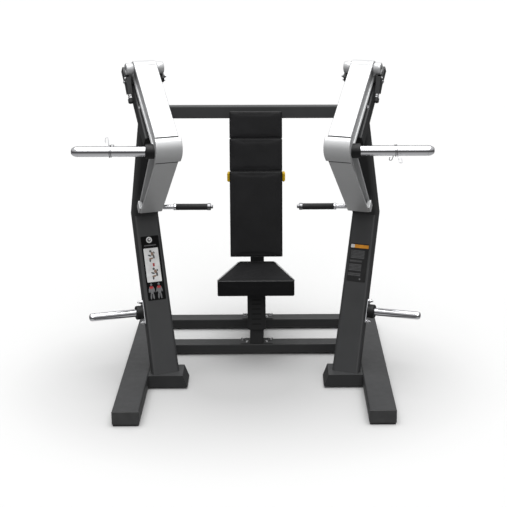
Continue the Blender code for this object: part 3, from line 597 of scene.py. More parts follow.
for side, s in SIDES:
    inward = side_dir(s, 1, 0, 0)
    # axle with its housings: chamfered silver hubs, each with a sunk socket face
    m = basis(P(s, 0, *PIVOT), inward, side_dir(s, 0, 1, 0))
    r, a, hi, ho = 0.030, 0.016, 0.0585, 0.093
    half = [(0, ho - 0.006), (0.0125, ho - 0.006), (0.0135, ho - 0.0052), (0.0140, ho - 0.0008), (0.0152, ho),
            (r - 0.0050, ho), (r - 0.0016, ho - 0.0016), (r, ho - 0.005), (r, hi + 0.004), (r - 0.0015, hi), (a, hi)]
    prof = half + [(q_[0], -q_[1]) for q_ in reversed(half)]
    add(side + "_pivot_hub", mesh_of(turned(prof, 64, m), "hub"), M_SILVER, "root",
        (side + "_pivot_axle",), smooth=28)
    # dark hex plugs in the sunk socket faces: their black is painted shade in the sockets
    for sg in (-1, 1):
        mm = basis(P(s, sg * (ho - 0.0058), *PIVOT), inward * sg, side_dir(s, 0, 1, 0))
        bm = turned([(0, 0.0002), (0.0048, 0.0002), (0.0052, 0.0030), (0.0098, 0.0034), (0.0108, 0.0026), (0.0108, -0.001), (0, -0.001)], 6, mm)
        add(f"{side}_axle_end_{'in' if sg > 0 else 'out'}", mesh_of(bm, "end"), M_RECESS_SHADE, "root", smooth=0, bev=0.0004, seg=2)

    # bolts on the yoke ears, outer and inner
    bm = []
    for sg in (-1, 1):
        for h_, z_ in ((0.222, 1.5330), (0.243, 1.5120)):
            bm += hex_bolt(basis(P(s, sg * 0.0980, h_, z_), inward * sg), 0.011, 0.0045, 0.0075, 0.0012, socket=True)
    add(side + "_yoke_bolts", merge(bm, "bolts"), M_ZINC, "root", smooth=28)

    # rubber stop: threaded stud, two nuts and the buffer
    lean = math.radians(28.0)
    base = P(s, -0.0865, 0.1900 - 0.0020 * math.sin(lean), 1.4612 - 0.0020 * math.cos(lean))
    axis = side_dir(s, 0, -math.sin(lean), -math.cos(lean))
    mm = basis(base, axis, inward)
    prof = [(0, 0.0)]
    kz = 0.0
    prof.append((0.0060, 0.0))
    while kz < 0.020:
        prof += [(0.0060, kz + 0.0006), (0.0054, kz + 0.0012)]
        kz += 0.0015
    prof += [(0.0060, 0.0222), (0, 0.0222)]
    add(side + "_bumper_stud", mesh_of(turned(prof, 28, mm), "stud"), M_ZINC, "root", smooth=40)
    bm = []
    for z0_ in (0.0008, 0.0120):
        tmp = bmesh.new()
        rr_ = 0.0105
        rings = []
        for zz, k_ in ((z0_, 0.90), (z0_ + 0.0012, 1.0), (z0_ + 0.0068, 1.0), (z0_ + 0.0080, 0.90)):
            rings.append([tmp.verts.new((rr_ * k_ * math.cos(math.pi / 3 * i_), rr_ * k_ * math.sin(math.pi / 3 * i_), zz)) for i_ in range(6)])
        for ra, rb in zip(rings[:-1], rings[1:]):
            for i_ in range(6):
                j_ = (i_ + 1) % 6
                tmp.faces.new((ra[i_], ra[j_], rb[j_], rb[i_]))
        tmp.faces.new(rings[0][::-1])
        tmp.faces.new(rings[-1])
        tmp.transform(mm)
        bm.append(tmp)
    add(side + "_bumper_nuts", merge(bm, "nuts"), M_ZINC, "root", smooth=25)
    prof = [(0, 0.0460), (0.0060, 0.0459), (0.0095, 0.0448), (0.0120, 0.0425), (0.0130, 0.0395), (0.0128, 0.0340),
            (0.0122, 0.0310), (0.0128, 0.0280), (0.0130, 0.0240), (0.0122, 0.0226), (0, 0.0226)]
    add(side + "_bumper_buffer", mesh_of(turned(prof, 40, mm), "buffer"), M_RUBBER, "root",
        (side + "_stop_bumper",), smooth=40)

    # bolts on the head beam's upper face, beside the arm, one on each side
    bm = []
    for u_, al_ in ((-0.0475, -0.079), (0.0475, -0.079)):
        q = BEAM_REF + BU * al_ + BN * 0.0352
        bm += hex_bolt(basis(P(s, u_, q.x, q.y), side_dir(s, 0, BN.x, BN.y)), 0.015, 0.0070, 0.0105)
    add(side + "_beam_bolts", merge(bm, "bolts"), M_ZINC, "root", smooth=28)

# ------------------------------------------------------------------- cushions
BACK_M = Matrix.Translation((0, 0.352, 0.5035)) @ Matrix.Rotation(math.radians(-6.0), 4, "X")


def evaluated_mesh(ob):
    dg = bpy.context.evaluated_depsgraph_get()
    return bpy.data.meshes.new_from_object(ob.evaluated_get(dg), depsgraph=dg)


def cushion(cad, local, body, mat, rest, cut, cap, voxel=0.0055, crown=None, edge=None, block=None):
    """Foam pad: the CAD solid, drawn in a little, remeshed, inflated as cloth and capped.
    rest = (axis, sign): the flat face that lies on its board."""
    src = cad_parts[cad]
    me = src.data.copy()
    me.transform(local.inverted() @ src.matrix_world)
    bm = bmesh.new()
    bm.from_mesh(me)
    bmesh.ops.remove_doubles(bm, verts=bm.verts[:], dist=0.00005)
    bm.to_mesh(me)
    bm.free()
    n_ = len(me.vertices)
    co = np.empty(n_ * 3)
    me.vertices.foreach_get("co", co)
    co = co.reshape(-1, 3)
    lo, hi = co.min(axis=0), co.max(axis=0)
    ax, sg = rest
    if block:
        me = block
        co = np.empty(len(me.vertices) * 3)
        me.vertices.foreach_get("co", co)
        co = co.reshape(-1, 3)
    if edge:
        # a plain panel pad: start from its own block with tight sewn edges
        bm = box_bm(tuple(hi - lo), None, tuple((hi + lo) / 2))
        bmesh.ops.bevel(bm, geom=bm.edges[:], offset=edge, segments=2, profile=0.5, affect="EDGES")
        me = mesh_of(bm, cad + "_block")
        co = np.empty(len(me.vertices) * 3)
        me.vertices.foreach_get("co", co)
        co = co.reshape(-1, 3)
    for k in range(3):
        mid = (lo[k] + hi[k]) / 2
        size = hi[k] - lo[k]
        if k == ax:
            fixed = hi[k] if sg > 0 else lo[k]
            co[:, k] = fixed + (co[:, k] - fixed) * (1 - cut / size)
        else:
            co[:, k] = mid + (co[:, k] - mid) * (1 - 2 * cut / size)
    me.vertices.foreach_set("co", co.ravel())
    tmp = bpy.data.objects.new(cad + "_start", me)
    COL.objects.link(tmp)
    rm = tmp.modifiers.new("remesh", "REMESH")
    rm.mode = "VOXEL"
    rm.voxel_size = voxel
    rm.adaptivity = 0.0
    rm.use_smooth_shade = True
    me2 = evaluated_mesh(tmp)
    bpy.data.objects.remove(tmp)
    nv = len(me2.vertices)
    p0 = np.empty(nv * 3)
    me2.vertices.foreach_get("co", p0)
    p0 = p0.reshape(-1, 3)
    level = hi[ax] if sg > 0 else lo[ax]
    fixed = np.abs(p0[:, ax] - level) < 0.005
    p1 = p0.copy()
    ob = bpy.data.objects.new(cad + "_cloth", me2)
    COL.objects.link(ob)
    vg = ob.vertex_groups.new(name="pin")
    vg.add([int(i_) for i_ in np.nonzero(fixed)[0]], 1.0, "REPLACE")
    cl = ob.modifiers.new("cloth", "CLOTH")
    st = cl.settings
    st.quality = 5
    st.mass = 0.3
    st.tension_stiffness = 18
    st.compression_stiffness = 18
    st.shear_stiffness = 6
    st.bending_stiffness = 0.6
    st.use_pressure = True
    st.uniform_pressure_force = 4.0
    st.effector_weights.gravity = 0.0
    st.vertex_group_mass = "pin"
    cl.collision_settings.use_collision = False
    cl.collision_settings.use_self_collision = False
    cl.point_cache.frame_start = 1
    cl.point_cache.frame_end = 20
    for f in range(1, 21):
        scene.frame_set(f)
    me3 = evaluated_mesh(ob)
    got = np.empty(nv * 3)
    me3.vertices.foreach_get("co", got)
    p1 = got.reshape(-1, 3).copy()
    bpy.data.objects.remove(ob)
    bpy.data.meshes.remove(me3)
    scene.frame_set(1)
    d = p1 - p0
    ln = np.linalg.norm(d, axis=1)
    ln[ln < 1e-9] = 1e-9
    d *= np.minimum(1.0, cap / ln)[:, None]
    if crown:
        # the sheet is tied down along its sewn edges, so the swell fades towards them
        axes = [k for k in range(3) if k != ax]
        near = np.ones(nv)
        for k in axes:
            mid, hs = (lo[k] + hi[k]) / 2, (hi[k] - lo[k]) / 2
            if block and k == 0:
                # the tapered outline: wide at the front, narrow at the back
                hs = np.interp(p0[:, 1], [0.085, 0.107, 0.394, 0.410], [0.2015, 0.2005, 0.104, 0.098])
            e = np.clip((hs - np.abs(p0[:, k] - mid)) / crown, 0, 1)
            near *= 0.30 + 0.70 * e * e * (3 - 2 * e)
        d *= near[:, None]
    p1 = p0 + d
    p1[fixed, ax] = level
    me2.vertices.foreach_set("co", p1.ravel())
    me2.update()
    me2.transform(local)
    me2.name = cad + "_cushion"
    ob = bpy.data.objects.new(cad + "_cushion", me2)
    COL.objects.link(ob)
    me2.materials.clear()
    me2.materials.append(mat)
    me2.shade_smooth()
    sm = ob.modifiers.new("sub", "SUBSURF")
    sm.levels = 1
    sm.render_levels = 1
    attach(ob, body)
    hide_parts(cad)
    return ob


def sewn(name, ob, local, loop, toward, body, step=0.0062, bead=None, welt_loop=None, cord=M_SEAM):
    """Stitches laid on the pad's own surface along a closed loop, and a welt cord at its edge."""
    me = ob.data
    tree = BVHTree.FromPolygons([v.co[:] for v in me.vertices], [p.vertices[:] for p in me.polygons])
    m3 = local.to_3x3()
    bms = []
    for a, b in zip(loop, loop[1:] + loop[:1]):
        a, b = Vector(a), Vector(b)
        ln = (b - a).length
        cnt = max(1, int(ln / step))
        for k in range(cnt):
            p = a.lerp(b, (k + 0.5) / cnt)
            wp = local @ p
            wd = m3 @ Vector(toward)
            hit, nrm, _, _ = tree.ray_cast(wp - wd * 0.05, wd)
            if hit is None:
                continue
            along = m3 @ (b - a).normalized()
            if nrm.dot(wd) > 0:
                nrm = -nrm
            mm = basis(hit + nrm * 0.0001, nrm, along)
            sz = (0.0042, 0.0009, 0.0007)
            bms.append(box_bm(sz, mm))
    if bms:
        add(name + "_stitches", merge(bms, "stitches"), M_THREAD, body, smooth=0)
    if welt_loop:
        cu = bpy.data.curves.new(name + "_welt", "CURVE")
        cu.dimensions = "3D"
        cu.bevel_depth = bead
        cu.bevel_resolution = 3
        sp = cu.splines.new("POLY")
        sp.points.add(len(welt_loop) - 1)
        for q_, p in zip(sp.points, welt_loop):
            w_ = local @ Vector(p)
            q_.co = (w_.x, w_.y, w_.z, 1)
        sp.use_cyclic_u = True
        sp.use_smooth = True
        cu.materials.append(cord)
        o = bpy.data.objects.new(name + "_welt", cu)
        COL.objects.link(o)
        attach(o, body)


def rounded_rect(x0, x1, z0, z1, r, y, n_=5):
    out = []
    for cx, cz, a0 in ((x1 - r, z1 - r, 0), (x0 + r, z1 - r, 90), (x0 + r, z0 + r, 180), (x1 - r, z0 + r, 270)):
        for k in range(n_ + 1):
            a = math.radians(a0 + 90 * k / n_)
            out.append((cx + r * math.cos(a), y, cz + r * math.sin(a)))
    return out


for nm, za, zb, yf in (("lower", 0.0, 0.4635, 0.0), ("middle", 0.4650, 0.6370, 0.018), ("upper", 0.6385, 0.7795, 0.036)):
    cad = "backrest_pad_" + nm
    ob = cushion(cad, BACK_M, "backrest", M_PAD, (1, 1), 0.0006, 0.0018, voxel=0.0040, crown=0.030, edge=0.0022)
    loop = rounded_rect(-0.1285, 0.1285, za + 0.0115, zb - 0.0115, 0.006, yf)
    welt = rounded_rect(-0.1392, 0.1392, za + 0.0010, zb - 0.0010, 0.003, yf + 0.0024)
    sewn(cad, ob, BACK_M, loop, (0, 1, 0), "backrest", bead=0.0011, welt_loop=welt)

def seat_loop(inset, z):
    y0, y1, wf, wb, r = 0.085, 0.410, 0.2015, 0.098, 0.012
    half = []
    for k in range(5):
        a = -math.pi / 2 + math.pi / 2 * k / 4
        half.append((wf - r + (r - inset * 0.6) * math.cos(a), y0 + r + (r - inset * 0.6) * math.sin(a)))
    half = [(x - inset * 0.4, y + inset * 0.4) for x, y in half]
    half.append((wf - 0.001 - inset, y0 + 0.022))
    half.append((wb + 0.006 - inset, y1 - 0.016))
    for k in range(1, 5):
        a = math.pi / 2 * k / 4
        half.append((wb - 0.012 - inset * 0.4 + (0.012 - inset * 0.6) * math.cos(a), y1 - 0.012 - inset * 0.4 + (0.012 - inset * 0.6) * math.sin(a)))
    left = [(-x, y) for x, y in reversed(half)]
    return [(x, y, z) for x, y in half + left]


SEAT_BM = bmesh.new()
r0 = [SEAT_BM.verts.new((x, y, 0.375)) for x, y, _ in seat_loop(0.0, 0)]
r1 = [SEAT_BM.verts.new((x, y, 0.460)) for x, y, _ in seat_loop(0.0, 0)]
SEAT_BM.faces.new(r0[::-1])
SEAT_BM.faces.new(r1)
for k in range(len(r0)):
    j = (k + 1) % len(r0)
    SEAT_BM.faces.new((r0[k], r0[j], r1[j], r1[k]))
bmesh.ops.recalc_face_normals(SEAT_BM, faces=SEAT_BM.faces[:])
rim = [e for e in SEAT_BM.edges if abs(e.verts[0].co.z - e.verts[1].co.z) < 1e-6]
bmesh.ops.bevel(SEAT_BM, geom=rim, offset=0.0035, segments=2, profile=0.5, affect="EDGES")
SEAT_BLOCK = mesh_of(SEAT_BM, "seat_block")
ob = cushion("seat_pad", Matrix.Identity(4), "seat", M_SEAT, (2, -1), 0.0008, 0.0034, voxel=0.0045, crown=0.055, block=SEAT_BLOCK)


# the top welt in the lightened cord: painted highlight along the seat's front top edge
sewn("seat_pad", ob, Matrix.Identity(4), seat_loop(0.014, 0.470), (0, 0, -1), "seat", bead=0.0012, welt_loop=seat_loop(0.0016, 0.4583), cord=M_WELT_LIGHTENED)
sewn("seat_pad_base", ob, Matrix.Identity(4), [], (0, 0, -1), "seat", bead=0.0011, welt_loop=seat_loop(0.0026, 0.3810))


# ------------------------------------------------------------------- placards
def F(s, u, z, off=0.0):
    """Point on the lower mast's front face."""
    h = -0.012 + 0.313 * (z - 0.0729) / 0.7421
    return P(s, u, h - 0.9214 * off, z + 0.3886 * off)


def decal(s, pts, off, thick, name, mat, bev=0.0003, smooth=30):
    bm = bmesh.new()
    a = [bm.verts.new(F(s, u, z, off)) for u, z in pts]
    b = [bm.verts.new(F(s, u, z, off + thick)) for u, z in pts]
    bm.faces.new(a)
    bm.faces.new(b[::-1])
    for i in range(len(pts)):
        j = (i + 1) % len(pts)
        bm.faces.new((a[i], a[j], b[j], b[i]))
    return add(name, mesh_of(bm, name), mat, "root", bev=bev, seg=1, smooth=smooth)


def rr(u0, u1, z0, z1, r=0.003, n_=4):
    return [(x, z) for x, _, z in rounded_rect(min(u0, u1), max(u0, u1), z0, z1, r, 0, n_)]


def disc(u, z, r, n_=28, sy=1.0):
    return [(u + r * math.cos(2 * math.pi * k / n_), z + sy * r * math.sin(2 * math.pi * k / n_)) for k in range(n_)]


def blob(u, z, w, h, tilt=0.0, n_=14):
    t = math.radians(tilt)
    out = []
    for k in range(n_):
        a = 2 * math.pi * k / n_
        x, y = w / 2 * math.cos(a), h / 2 * math.sin(a)
        out.append((u + x * math.cos(t) - y * math.sin(t), z + x * math.sin(t) + y * math.cos(t)))
    return out


L_ = -1
decal(L_, rr(-0.045, 0.047, 0.414, 0.715, 0.004), 0.0001, 0.0012, "left_placard", M_LABEL)
decal(L_, disc(-0.003, 0.697, 0.0150, sy=0.95), 0.0012, 0.0012, "left_placard_button_rim", M_LABEL_LIGHT)
decal(L_, disc(-0.003, 0.697, 0.0095, sy=0.95), 0.0022, 0.0006, "left_placard_button", M_LABEL_GREY)
decal(L_, disc(-0.001, 0.699, 0.0045, sy=0.95), 0.0026, 0.0005, "left_placard_button_mid", M_LABEL_LIGHT)
decal(L_, rr(-0.032, 0.030, 0.6685, 0.6735, 0.001), 0.0012, 0.0003, "left_placard_bar", M_LABEL_GREY)
decal(L_, rr(-0.038, 0.037, 0.499, 0.658, 0.003), 0.0012, 0.0004, "left_placard_panel", M_LABEL_LIGHT)
# two generic figures on the light panel, a red mark between them
for k_, (zc_, du_) in enumerate(((0.618, 0.0), (0.535, 0.006))):
    for j_, (u_, z_, w_, h_, t_, m_) in enumerate((
            (-0.004, 0.028, 0.012, 0.014, 0, M_LABEL_GREY), (0.004, 0.014, 0.015, 0.022, 10, M_LABEL_BROWN),
            (-0.010, 0.006, 0.020, 0.010, -20, M_LABEL_GREY), (0.010, 0.000, 0.010, 0.026, 12, M_LABEL_GREY),
            (-0.004, -0.010, 0.024, 0.010, 8, M_LABEL_BROWN), (-0.010, -0.020, 0.009, 0.018, -8, M_LABEL_GREY),
            (0.014, 0.020, 0.006, 0.014, 20, M_LABEL_GREY))):
        decal(L_, blob(u_ + du_, zc_ + z_ * 0.9, w_, h_ * 0.85, t_), 0.0016, 0.0003, f"left_panel_figure_{k_}_{j_}", m_, bev=None)
decal(L_, rr(0.000, 0.010, 0.571, 0.587, 0.002), 0.0016, 0.0003, "left_panel_mark", M_LABEL_RED, bev=None)
# small figures on the black part
for k_, u_ in enumerate((-0.021, 0.018)):
    decal(L_, blob(u_, 0.4880, 0.011, 0.012), 0.0012, 0.0003, f"left_small_head_{k_}", M_LABEL_MID, bev=None)
    decal(L_, blob(u_, 0.4620, 0.021, 0.036), 0.0012, 0.0003, f"left_small_body_{k_}", M_LABEL_MID, bev=None)
    for sg_ in (-1, 1):
        decal(L_, blob(u_ + sg_ * 0.0120, 0.4640, 0.006, 0.028, sg_ * 14), 0.0013, 0.0003, f"left_small_arm_{k_}_{sg_ + 1}", M_LABEL_MID, bev=None)
        decal(L_, blob(u_ + sg_ * 0.0060, 0.4340, 0.008, 0.030, sg_ * 6), 0.0013, 0.0003, f"left_small_leg_{k_}_{sg_ + 1}", M_LABEL_MID, bev=None)
    decal(L_, rr(u_ - 0.0095, u_ + 0.0085, 0.469, 0.480, 0.003), 0.0016, 0.0003, f"left_small_mark_{k_}", M_LABEL_RED, bev=None)

R_ = 1
decal(R_, rr(-0.048, 0.050, 0.495, 0.674, 0.004), 0.0001, 0.0010, "right_placard", M_LABEL_SOFT)
decal(R_, rr(-0.046, 0.028, 0.653, 0.669, 0.002), 0.0010, 0.0005, "right_placard_header", M_LABEL_ORANGE)
decal(R_, rr(0.028, 0.047, 0.653, 0.669, 0.002), 0.0010, 0.0006, "right_placard_chip", M_LABEL_LIGHT)
for k_, (z0_, z1_, ua_, ub_) in enumerate(((0.603, 0.643, -0.030, 0.044), (0.585, 0.597, -0.020, 0.046), (0.545, 0.578, -0.020, 0.047), (0.521, 0.536, -0.020, 0.047))):
    decal(R_, rr(ua_, ub_, z0_, z1_, 0.002), 0.0010, 0.0003, f"right_placard_block_{k_}", M_LABEL_DIM, bev=None)
    rows_ = int((z1_ - z0_) / 0.0065)
    for q_ in range(rows_):
        zz = z0_ + (q_ + 0.5) * (z1_ - z0_) / rows_
        decal(R_, rr(ua_ + 0.003, ub_ - 0.003 - 0.006 * (q_ % 3), zz - 0.0010, zz + 0.0010, 0.0006, 1), 0.0012, 0.0002,
              f"right_placard_line_{k_}_{q_}", M_LABEL_GREY, bev=None)
decal(R_, disc(-0.018, 0.508, 0.0040), 0.0010, 0.0004, "right_placard_dot", M_LABEL_MID, bev=None)


# --------------------------------------------------- seat scale, plates, bolts
bm = []
for z_ in (0.318, 0.295, 0.267, 0.239, 0.210, 0.182):
    bm.append(box_bm((0.050, 0.0006, 0.0030), None, (0, 0.1854, z_)))
FRONT_SLEEVE = min((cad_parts["seat_sleeve"].matrix_world @ v_.co).y for v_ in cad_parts["seat_sleeve"].data.vertices
                   if (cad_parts["seat_sleeve"].matrix_world @ v_.co).z < 0.30)
for b_ in bm:
    bmesh.ops.translate(b_, verts=b_.verts[:], vec=(0, FRONT_SLEEVE - 0.1854, 0))
add("seat_sleeve_scale", merge(bm, "scale"), M_LABEL, "seat", smooth=0)


def base_plate(name, centre, size, hole, bolts, body="root"):
    """Plate around a post: four bars of one ring, with bolts."""
    cx, cy, z0 = centre
    w, d, t = size
    hw, hd = hole
    bm = bmesh.new()
    rings = []
    for zz in (z0, z0 + t):
        rings.append([[bm.verts.new((cx + x, cy + y, zz)) for x, y in ((-w / 2, -d / 2), (w / 2, -d / 2), (w / 2, d / 2), (-w / 2, d / 2))],
                      [bm.verts.new((cx + x, cy + y, zz)) for x, y in ((-hw / 2, -hd / 2), (hw / 2, -hd / 2), (hw / 2, hd / 2), (-hw / 2, hd / 2))]])
    for zi in (0, 1):
        for k in range(4):
            j = (k + 1) % 4
            bm.faces.new((rings[zi][0][k], rings[zi][0][j], rings[zi][1][j], rings[zi][1][k]))
    for k in range(4):
        j = (k + 1) % 4
        bm.faces.new((rings[0][0][k], rings[0][0][j], rings[1][0][j], rings[1][0][k]))
        bm.faces.new((rings[0][1][k], rings[0][1][j], rings[1][1][j], rings[1][1][k]))
    add(name, mesh_of(bm, name), M_BASE, body, bev=0.0008, seg=2)
    bb = []
    for x, y in bolts:
        bb += hex_bolt(basis((x, y, z0 + t), (0, 0, 1)), 0.013, 0.0060, 0.0095)
    add(name + "_bolts", merge(bb, "bolts"), M_ZINC, body, smooth=28)


def node_box(n_, zmax=None):
    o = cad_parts[n_]
    vs = [o.matrix_world @ v_.co for v_ in o.data.vertices]
    if zmax is not None:
        vs = [v_ for v_ in vs if v_.z < zmax]
    return [(min(v_[i] for v_ in vs), max(v_[i] for v_ in vs)) for i in range(3)]


for nm, post, bar in (("seat_post_plate", "seat_post", "front_crossbar"), ("backrest_post_plate", "backrest_post", "rear_crossbar")):
    bx = node_box(post, 0.20)
    br = node_box(bar)
    cy = (br[1][0] + br[1][1]) / 2
    d_ = br[1][1] - br[1][0] - 0.004
    hy = (bx[1][1] - bx[1][0]) + 0.0012
    cyp = (bx[1][0] + bx[1][1]) / 2
    w_ = 0.172
    zt = br[2][1] + 0.0003
    hx = (bx[0][1] - bx[0][0]) / 2 + 0.0006
    for sg in (-1, 1):
        bm = box_bm((w_ / 2 - hx, d_, 0.0040), None, (sg * (hx + (w_ / 2 - hx) / 2), cy, zt + 0.0020))
        add(f"{nm}_{'right' if sg > 0 else 'left'}", mesh_of(bm, nm), M_BASE, "root", bev=0.0010, seg=2)
    bb = []
    for sg in (-1, 1):
        for x_, y_, hh_ in ((0.072, cy + d_ * 0.20, 0.0075), (0.050, cy - d_ * 0.20, 0.0033 if nm == "seat_post_plate" else 0.0075)):
            bb += hex_bolt(basis((sg * x_, y_, zt + 0.0040), (0, 0, 1)), 0.013, hh_, 0.0090, 0.0010)
    add(nm + "_bolts", merge(bb, "bolts"), M_ZINC, "root", smooth=28)

# --------------------------------------------------------------- storage pegs
PEG_TILT = math.radians(1.6)
for side, s in SIDES:
    zc = 0.355
    frac = (zc - 0.0729) / 0.7421
    face = 0.070 + (0.065 - 0.070) * frac
    hc = 0.016 * (1 - frac) + 0.3415 * frac
    lean = math.atan2(0.3255, 0.7421)
    out_ = side_dir(s, -math.cos(PEG_TILT), 0, math.sin(PEG_TILT))
    m = basis(P(s, -(face + 0.0030), hc, zc), out_)
    prof = [(0, 0.2738), (0.0060, 0.2736), (0.0110, 0.2725), (0.0150, 0.2700), (0.0178, 0.2660), (0.0191, 0.2605), (0.0195, 0.2540),
            (0.0195, 0.2500), (0.0190, 0.2496), (0.0190, 0.2484), (0.0195, 0.2480), (0.0195, 0.0002), (0, 0.0002)]
    mp_ = side_matrix(s) @ Matrix.Translation((s * (face + 0.0045), hc, zc)) @ Matrix.Rotation(-lean, 4, "X")
    pb = box_bm((0.0040, 0.046, 0.118), mp_)
    add(side + "_storage_peg_turned", merge([turned(prof, 64, m), pb], "peg"), M_CHROME, "root",
        (side + "_storage_peg",), smooth=28)
    m = basis(P(s, -(face + 0.0030), hc, zc) + out_ * 0.0052, out_)
    prof = [(0.0203, 0.0340), (0.0290, 0.0340), (0.0318, 0.0332), (0.0340, 0.0312), (0.0350, 0.0285), (0.0350, 0.0120),
            (0.0346, 0.0114), (0.0346, 0.0104), (0.0350, 0.0098), (0.0350, 0.0008), (0.0342, 0.0), (0.0203, 0.0)]
    add(side + "_storage_peg_collar_turned", mesh_of(turned(prof, 64, m), "collar"), M_PLASTIC, "root",
        (side + "_storage_peg_collar",), smooth=28)
    bb = []
    for sg in (-1, 1):
        p_ = mp_ @ Vector((s * 0.0021, 0, sg * 0.0515))
        ax_ = side_dir(s, -1, 0, 0)
        mm = basis(p_, ax_, side_dir(s, 0, math.sin(lean), math.cos(lean)))
        bb += hex_bolt(mm, 0.0165, 0.0090, 0.0100, 0.0018)
        bb.append(turned([(0, 0.0195), (0.0036, 0.0195), (0.0046, 0.0184), (0.0046, 0.0100), (0, 0.0100)], 24, mm))
    add(side + "_peg_plate_bolts", merge(bb, "bolts"), M_ZINC, "root", smooth=28)

# ----------------------------------------------------------------- end caps
def tube_cap(name, m, w, d, body="root"):
    """Plug for an open square tube: m has its +Z out of the tube."""
    bms = [box_bm((w, d, 0.0035), m, (0, 0, 0.00185)), box_bm((w - 0.0085, d - 0.0085, 0.012), m, (0, 0, -0.0058))]
    add(name, merge(bms, "cap"), M_PLASTIC, body, bev=0.0012, seg=2)


BW_, BD_ = 0.1230, 0.0690
for side, s in SIDES:
    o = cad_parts[side + "_head_beam"]
    inv = side_matrix(s).inverted()
    vs = [inv @ (o.matrix_world @ v_.co) for v_ in o.data.vertices]
    al_ = [(v_.y - BEAM_REF.x) * BU.x + (v_.z - BEAM_REF.y) * BU.y for v_ in vs]
    up_ = [(v_.y - BEAM_REF.x) * BN.x + (v_.z - BEAM_REF.y) * BN.y for v_ in vs]
    w_ = max(v_.x for v_ in vs) - min(v_.x for v_ in vs)
    d_ = max(up_) - min(up_)
    for nm, t_, sg in (("upper", max(al_), 1), ("lower", min(al_), -1)):
        q = BEAM_REF + BU * t_ + BN * ((max(up_) + min(up_)) / 2)
        m = basis(P(s, 0, q.x, q.y), side_dir(s, 0, sg * BU.x, sg * BU.y), side_dir(s, 1, 0, 0))
        tube_cap(f"{side}_head_beam_cap_{nm}", m, w_ - 0.0004, d_ - 0.0004)
    bx = node_box("top_crossbar")
    m = basis((bx[0][0] if s < 0 else bx[0][1], (bx[1][0] + bx[1][1]) / 2, (bx[2][0] + bx[2][1]) / 2), (s, 0, 0), (0, 1, 0))
    tube_cap(side + "_top_crossbar_cap", m, bx[1][1] - bx[1][0] - 0.0004, bx[2][1] - bx[2][0] - 0.0004)

# ribs on the yellow paddles
LV = BACK_M @ Matrix.Translation((0, 0.108, 0.426))
bm = []
for sg in (-1, 1):
    pad_ = box_bm((0.0026, 0.0600, 0.0400), LV, (sg * 0.1542, -0.0280, 0.0))
    bm.append(pad_)
    for k in range(6):
        bm.append(box_bm((0.0094, 0.0012, 0.0022), LV, (sg * 0.147, -0.0612, -0.0175 + 0.0070 * k)))
        bm.append(box_bm((0.0010, 0.0480, 0.0022), LV, (sg * 0.1558, -0.0300, -0.0150 + 0.0060 * k)))
add("release_paddle_ribs", merge(bm, "ribs"), M_YELLOW, "release_lever", smooth=0)


# ----------------------------------------------- camera, floor, light and world
cam_data = bpy.data.cameras.new("camera")
cam = bpy.data.objects.new("camera", cam_data)
COL.objects.link(cam)
cam.location = (0.0941, -5.4459, 2.4120)
cam.rotation_euler = (math.radians(90 - 15.4993), 0, math.radians(-0.9144))
cam_data.sensor_fit = "HORIZONTAL"
cam_data.sensor_width = 36.0
cam_data.lens = 36.0 * 1130.0 / 507.0
cam_data.shift_x = -0.0742
cam_data.shift_y = -0.0996
cam_data.clip_start = 0.05
cam_data.clip_end = 400.0
scene.camera = cam

bm = bmesh.new()
bmesh.ops.create_grid(bm, x_segments=4, y_segments=4, size=120.0)
floor = bpy.data.objects.new("studio_floor", mesh_of(bm, "studio_floor"))
COL.objects.link(floor)
fm, n, l, b = principled("studio_floor", (0.36, 0.36, 0.36), 0.9, 0.0, spec=0.0)
v = coords(n, l, (1 / 1.35, 1 / 1.15, 1.0))
# spherical gradient darkens the floor colour in a broad oval around the machine: painted shadow under it
gr = n.new("ShaderNodeTexGradient")
gr.gradient_type = "SPHERICAL"
mp_ = n.new("ShaderNodeMapping")
mp_.inputs["Location"].default_value = (0.05, 0.10, 0.0)
l.new(v, mp_.inputs["Vector"])
l.new(mp_.outputs["Vector"], gr.inputs["Vector"])
l.new(ramp(n, l, gr.outputs["Fac"], [(0.0, (0.362, 0.362, 0.362)), (0.12, (0.355, 0.355, 0.355)), (0.40, (0.315, 0.315, 0.315)), (0.8, (0.252, 0.252, 0.252))]), b.inputs["Base Color"])
floor.data.materials.append(fm)
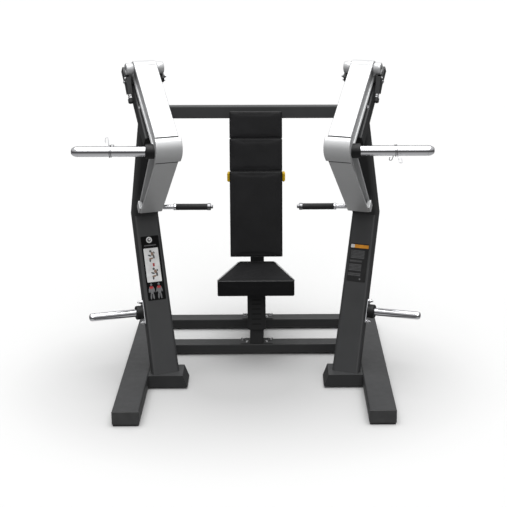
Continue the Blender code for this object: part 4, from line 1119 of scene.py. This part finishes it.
floor.visible_diffuse = False
floor.visible_glossy = False


def sun(name, strength, angle, direction):
    d = bpy.data.lights.new(name, "SUN")
    d.energy = strength
    d.angle = math.radians(angle)
    o = bpy.data.objects.new(name, d)
    COL.objects.link(o)
    o.rotation_mode = "QUATERNION"
    o.rotation_quaternion = (-Vector(direction)).to_track_quat("-Z", "Y")
    return o


sun("top_light", 5.2, 60, (0.0, -0.05, 1.0))
sun("front_light", 1.25, 40, (0.10, -1.0, 0.95))

world = bpy.data.worlds.new("studio")
scene.world = world
world.use_nodes = True
wn, wl = world.node_tree.nodes, world.node_tree.links
bg = wn["Background"]
tc = wn.new("ShaderNodeTexCoord")
sx = wn.new("ShaderNodeSeparateXYZ")
wl.new(tc.outputs["Generated"], sx.inputs["Vector"])
half_ = wn.new("ShaderNodeMapRange")
half_.inputs["From Min"].default_value = -1.0
half_.inputs["From Max"].default_value = 1.0
wl.new(sx.outputs["Z"], half_.inputs["Value"])
wr_ = wn.new("ShaderNodeValToRGB")
SKY = [(0.0, 0.70), (0.20, 0.55), (0.34, 0.11), (0.47, 0.115), (0.56, 0.185), (0.68, 0.68), (1.0, 1.15)]
while len(wr_.color_ramp.elements) < len(SKY):
    wr_.color_ramp.elements.new(0.5)
for e_, (p_, c_) in zip(wr_.color_ramp.elements, SKY):
    e_.position = p_
    e_.color = (c_, c_, c_, 1)
wl.new(half_.outputs["Result"], wr_.inputs["Fac"])
lp_ = wn.new("ShaderNodeLightPath")
mx_ = wn.new("ShaderNodeMixRGB")
mx_.inputs["Color2"].default_value = (1.0, 1.0, 1.0, 1)
wl.new(lp_.outputs["Is Camera Ray"], mx_.inputs["Fac"])
wl.new(wr_.outputs["Color"], mx_.inputs["Color1"])
wl.new(mx_.outputs["Color"], bg.inputs["Color"])
bg.inputs["Strength"].default_value = 1.0

scene.view_settings.view_transform = "Standard"
scene.view_settings.look = "None"
scene.view_settings.exposure = 0.0
scene.view_settings.gamma = 1.0

bpy.context.view_layer.update()
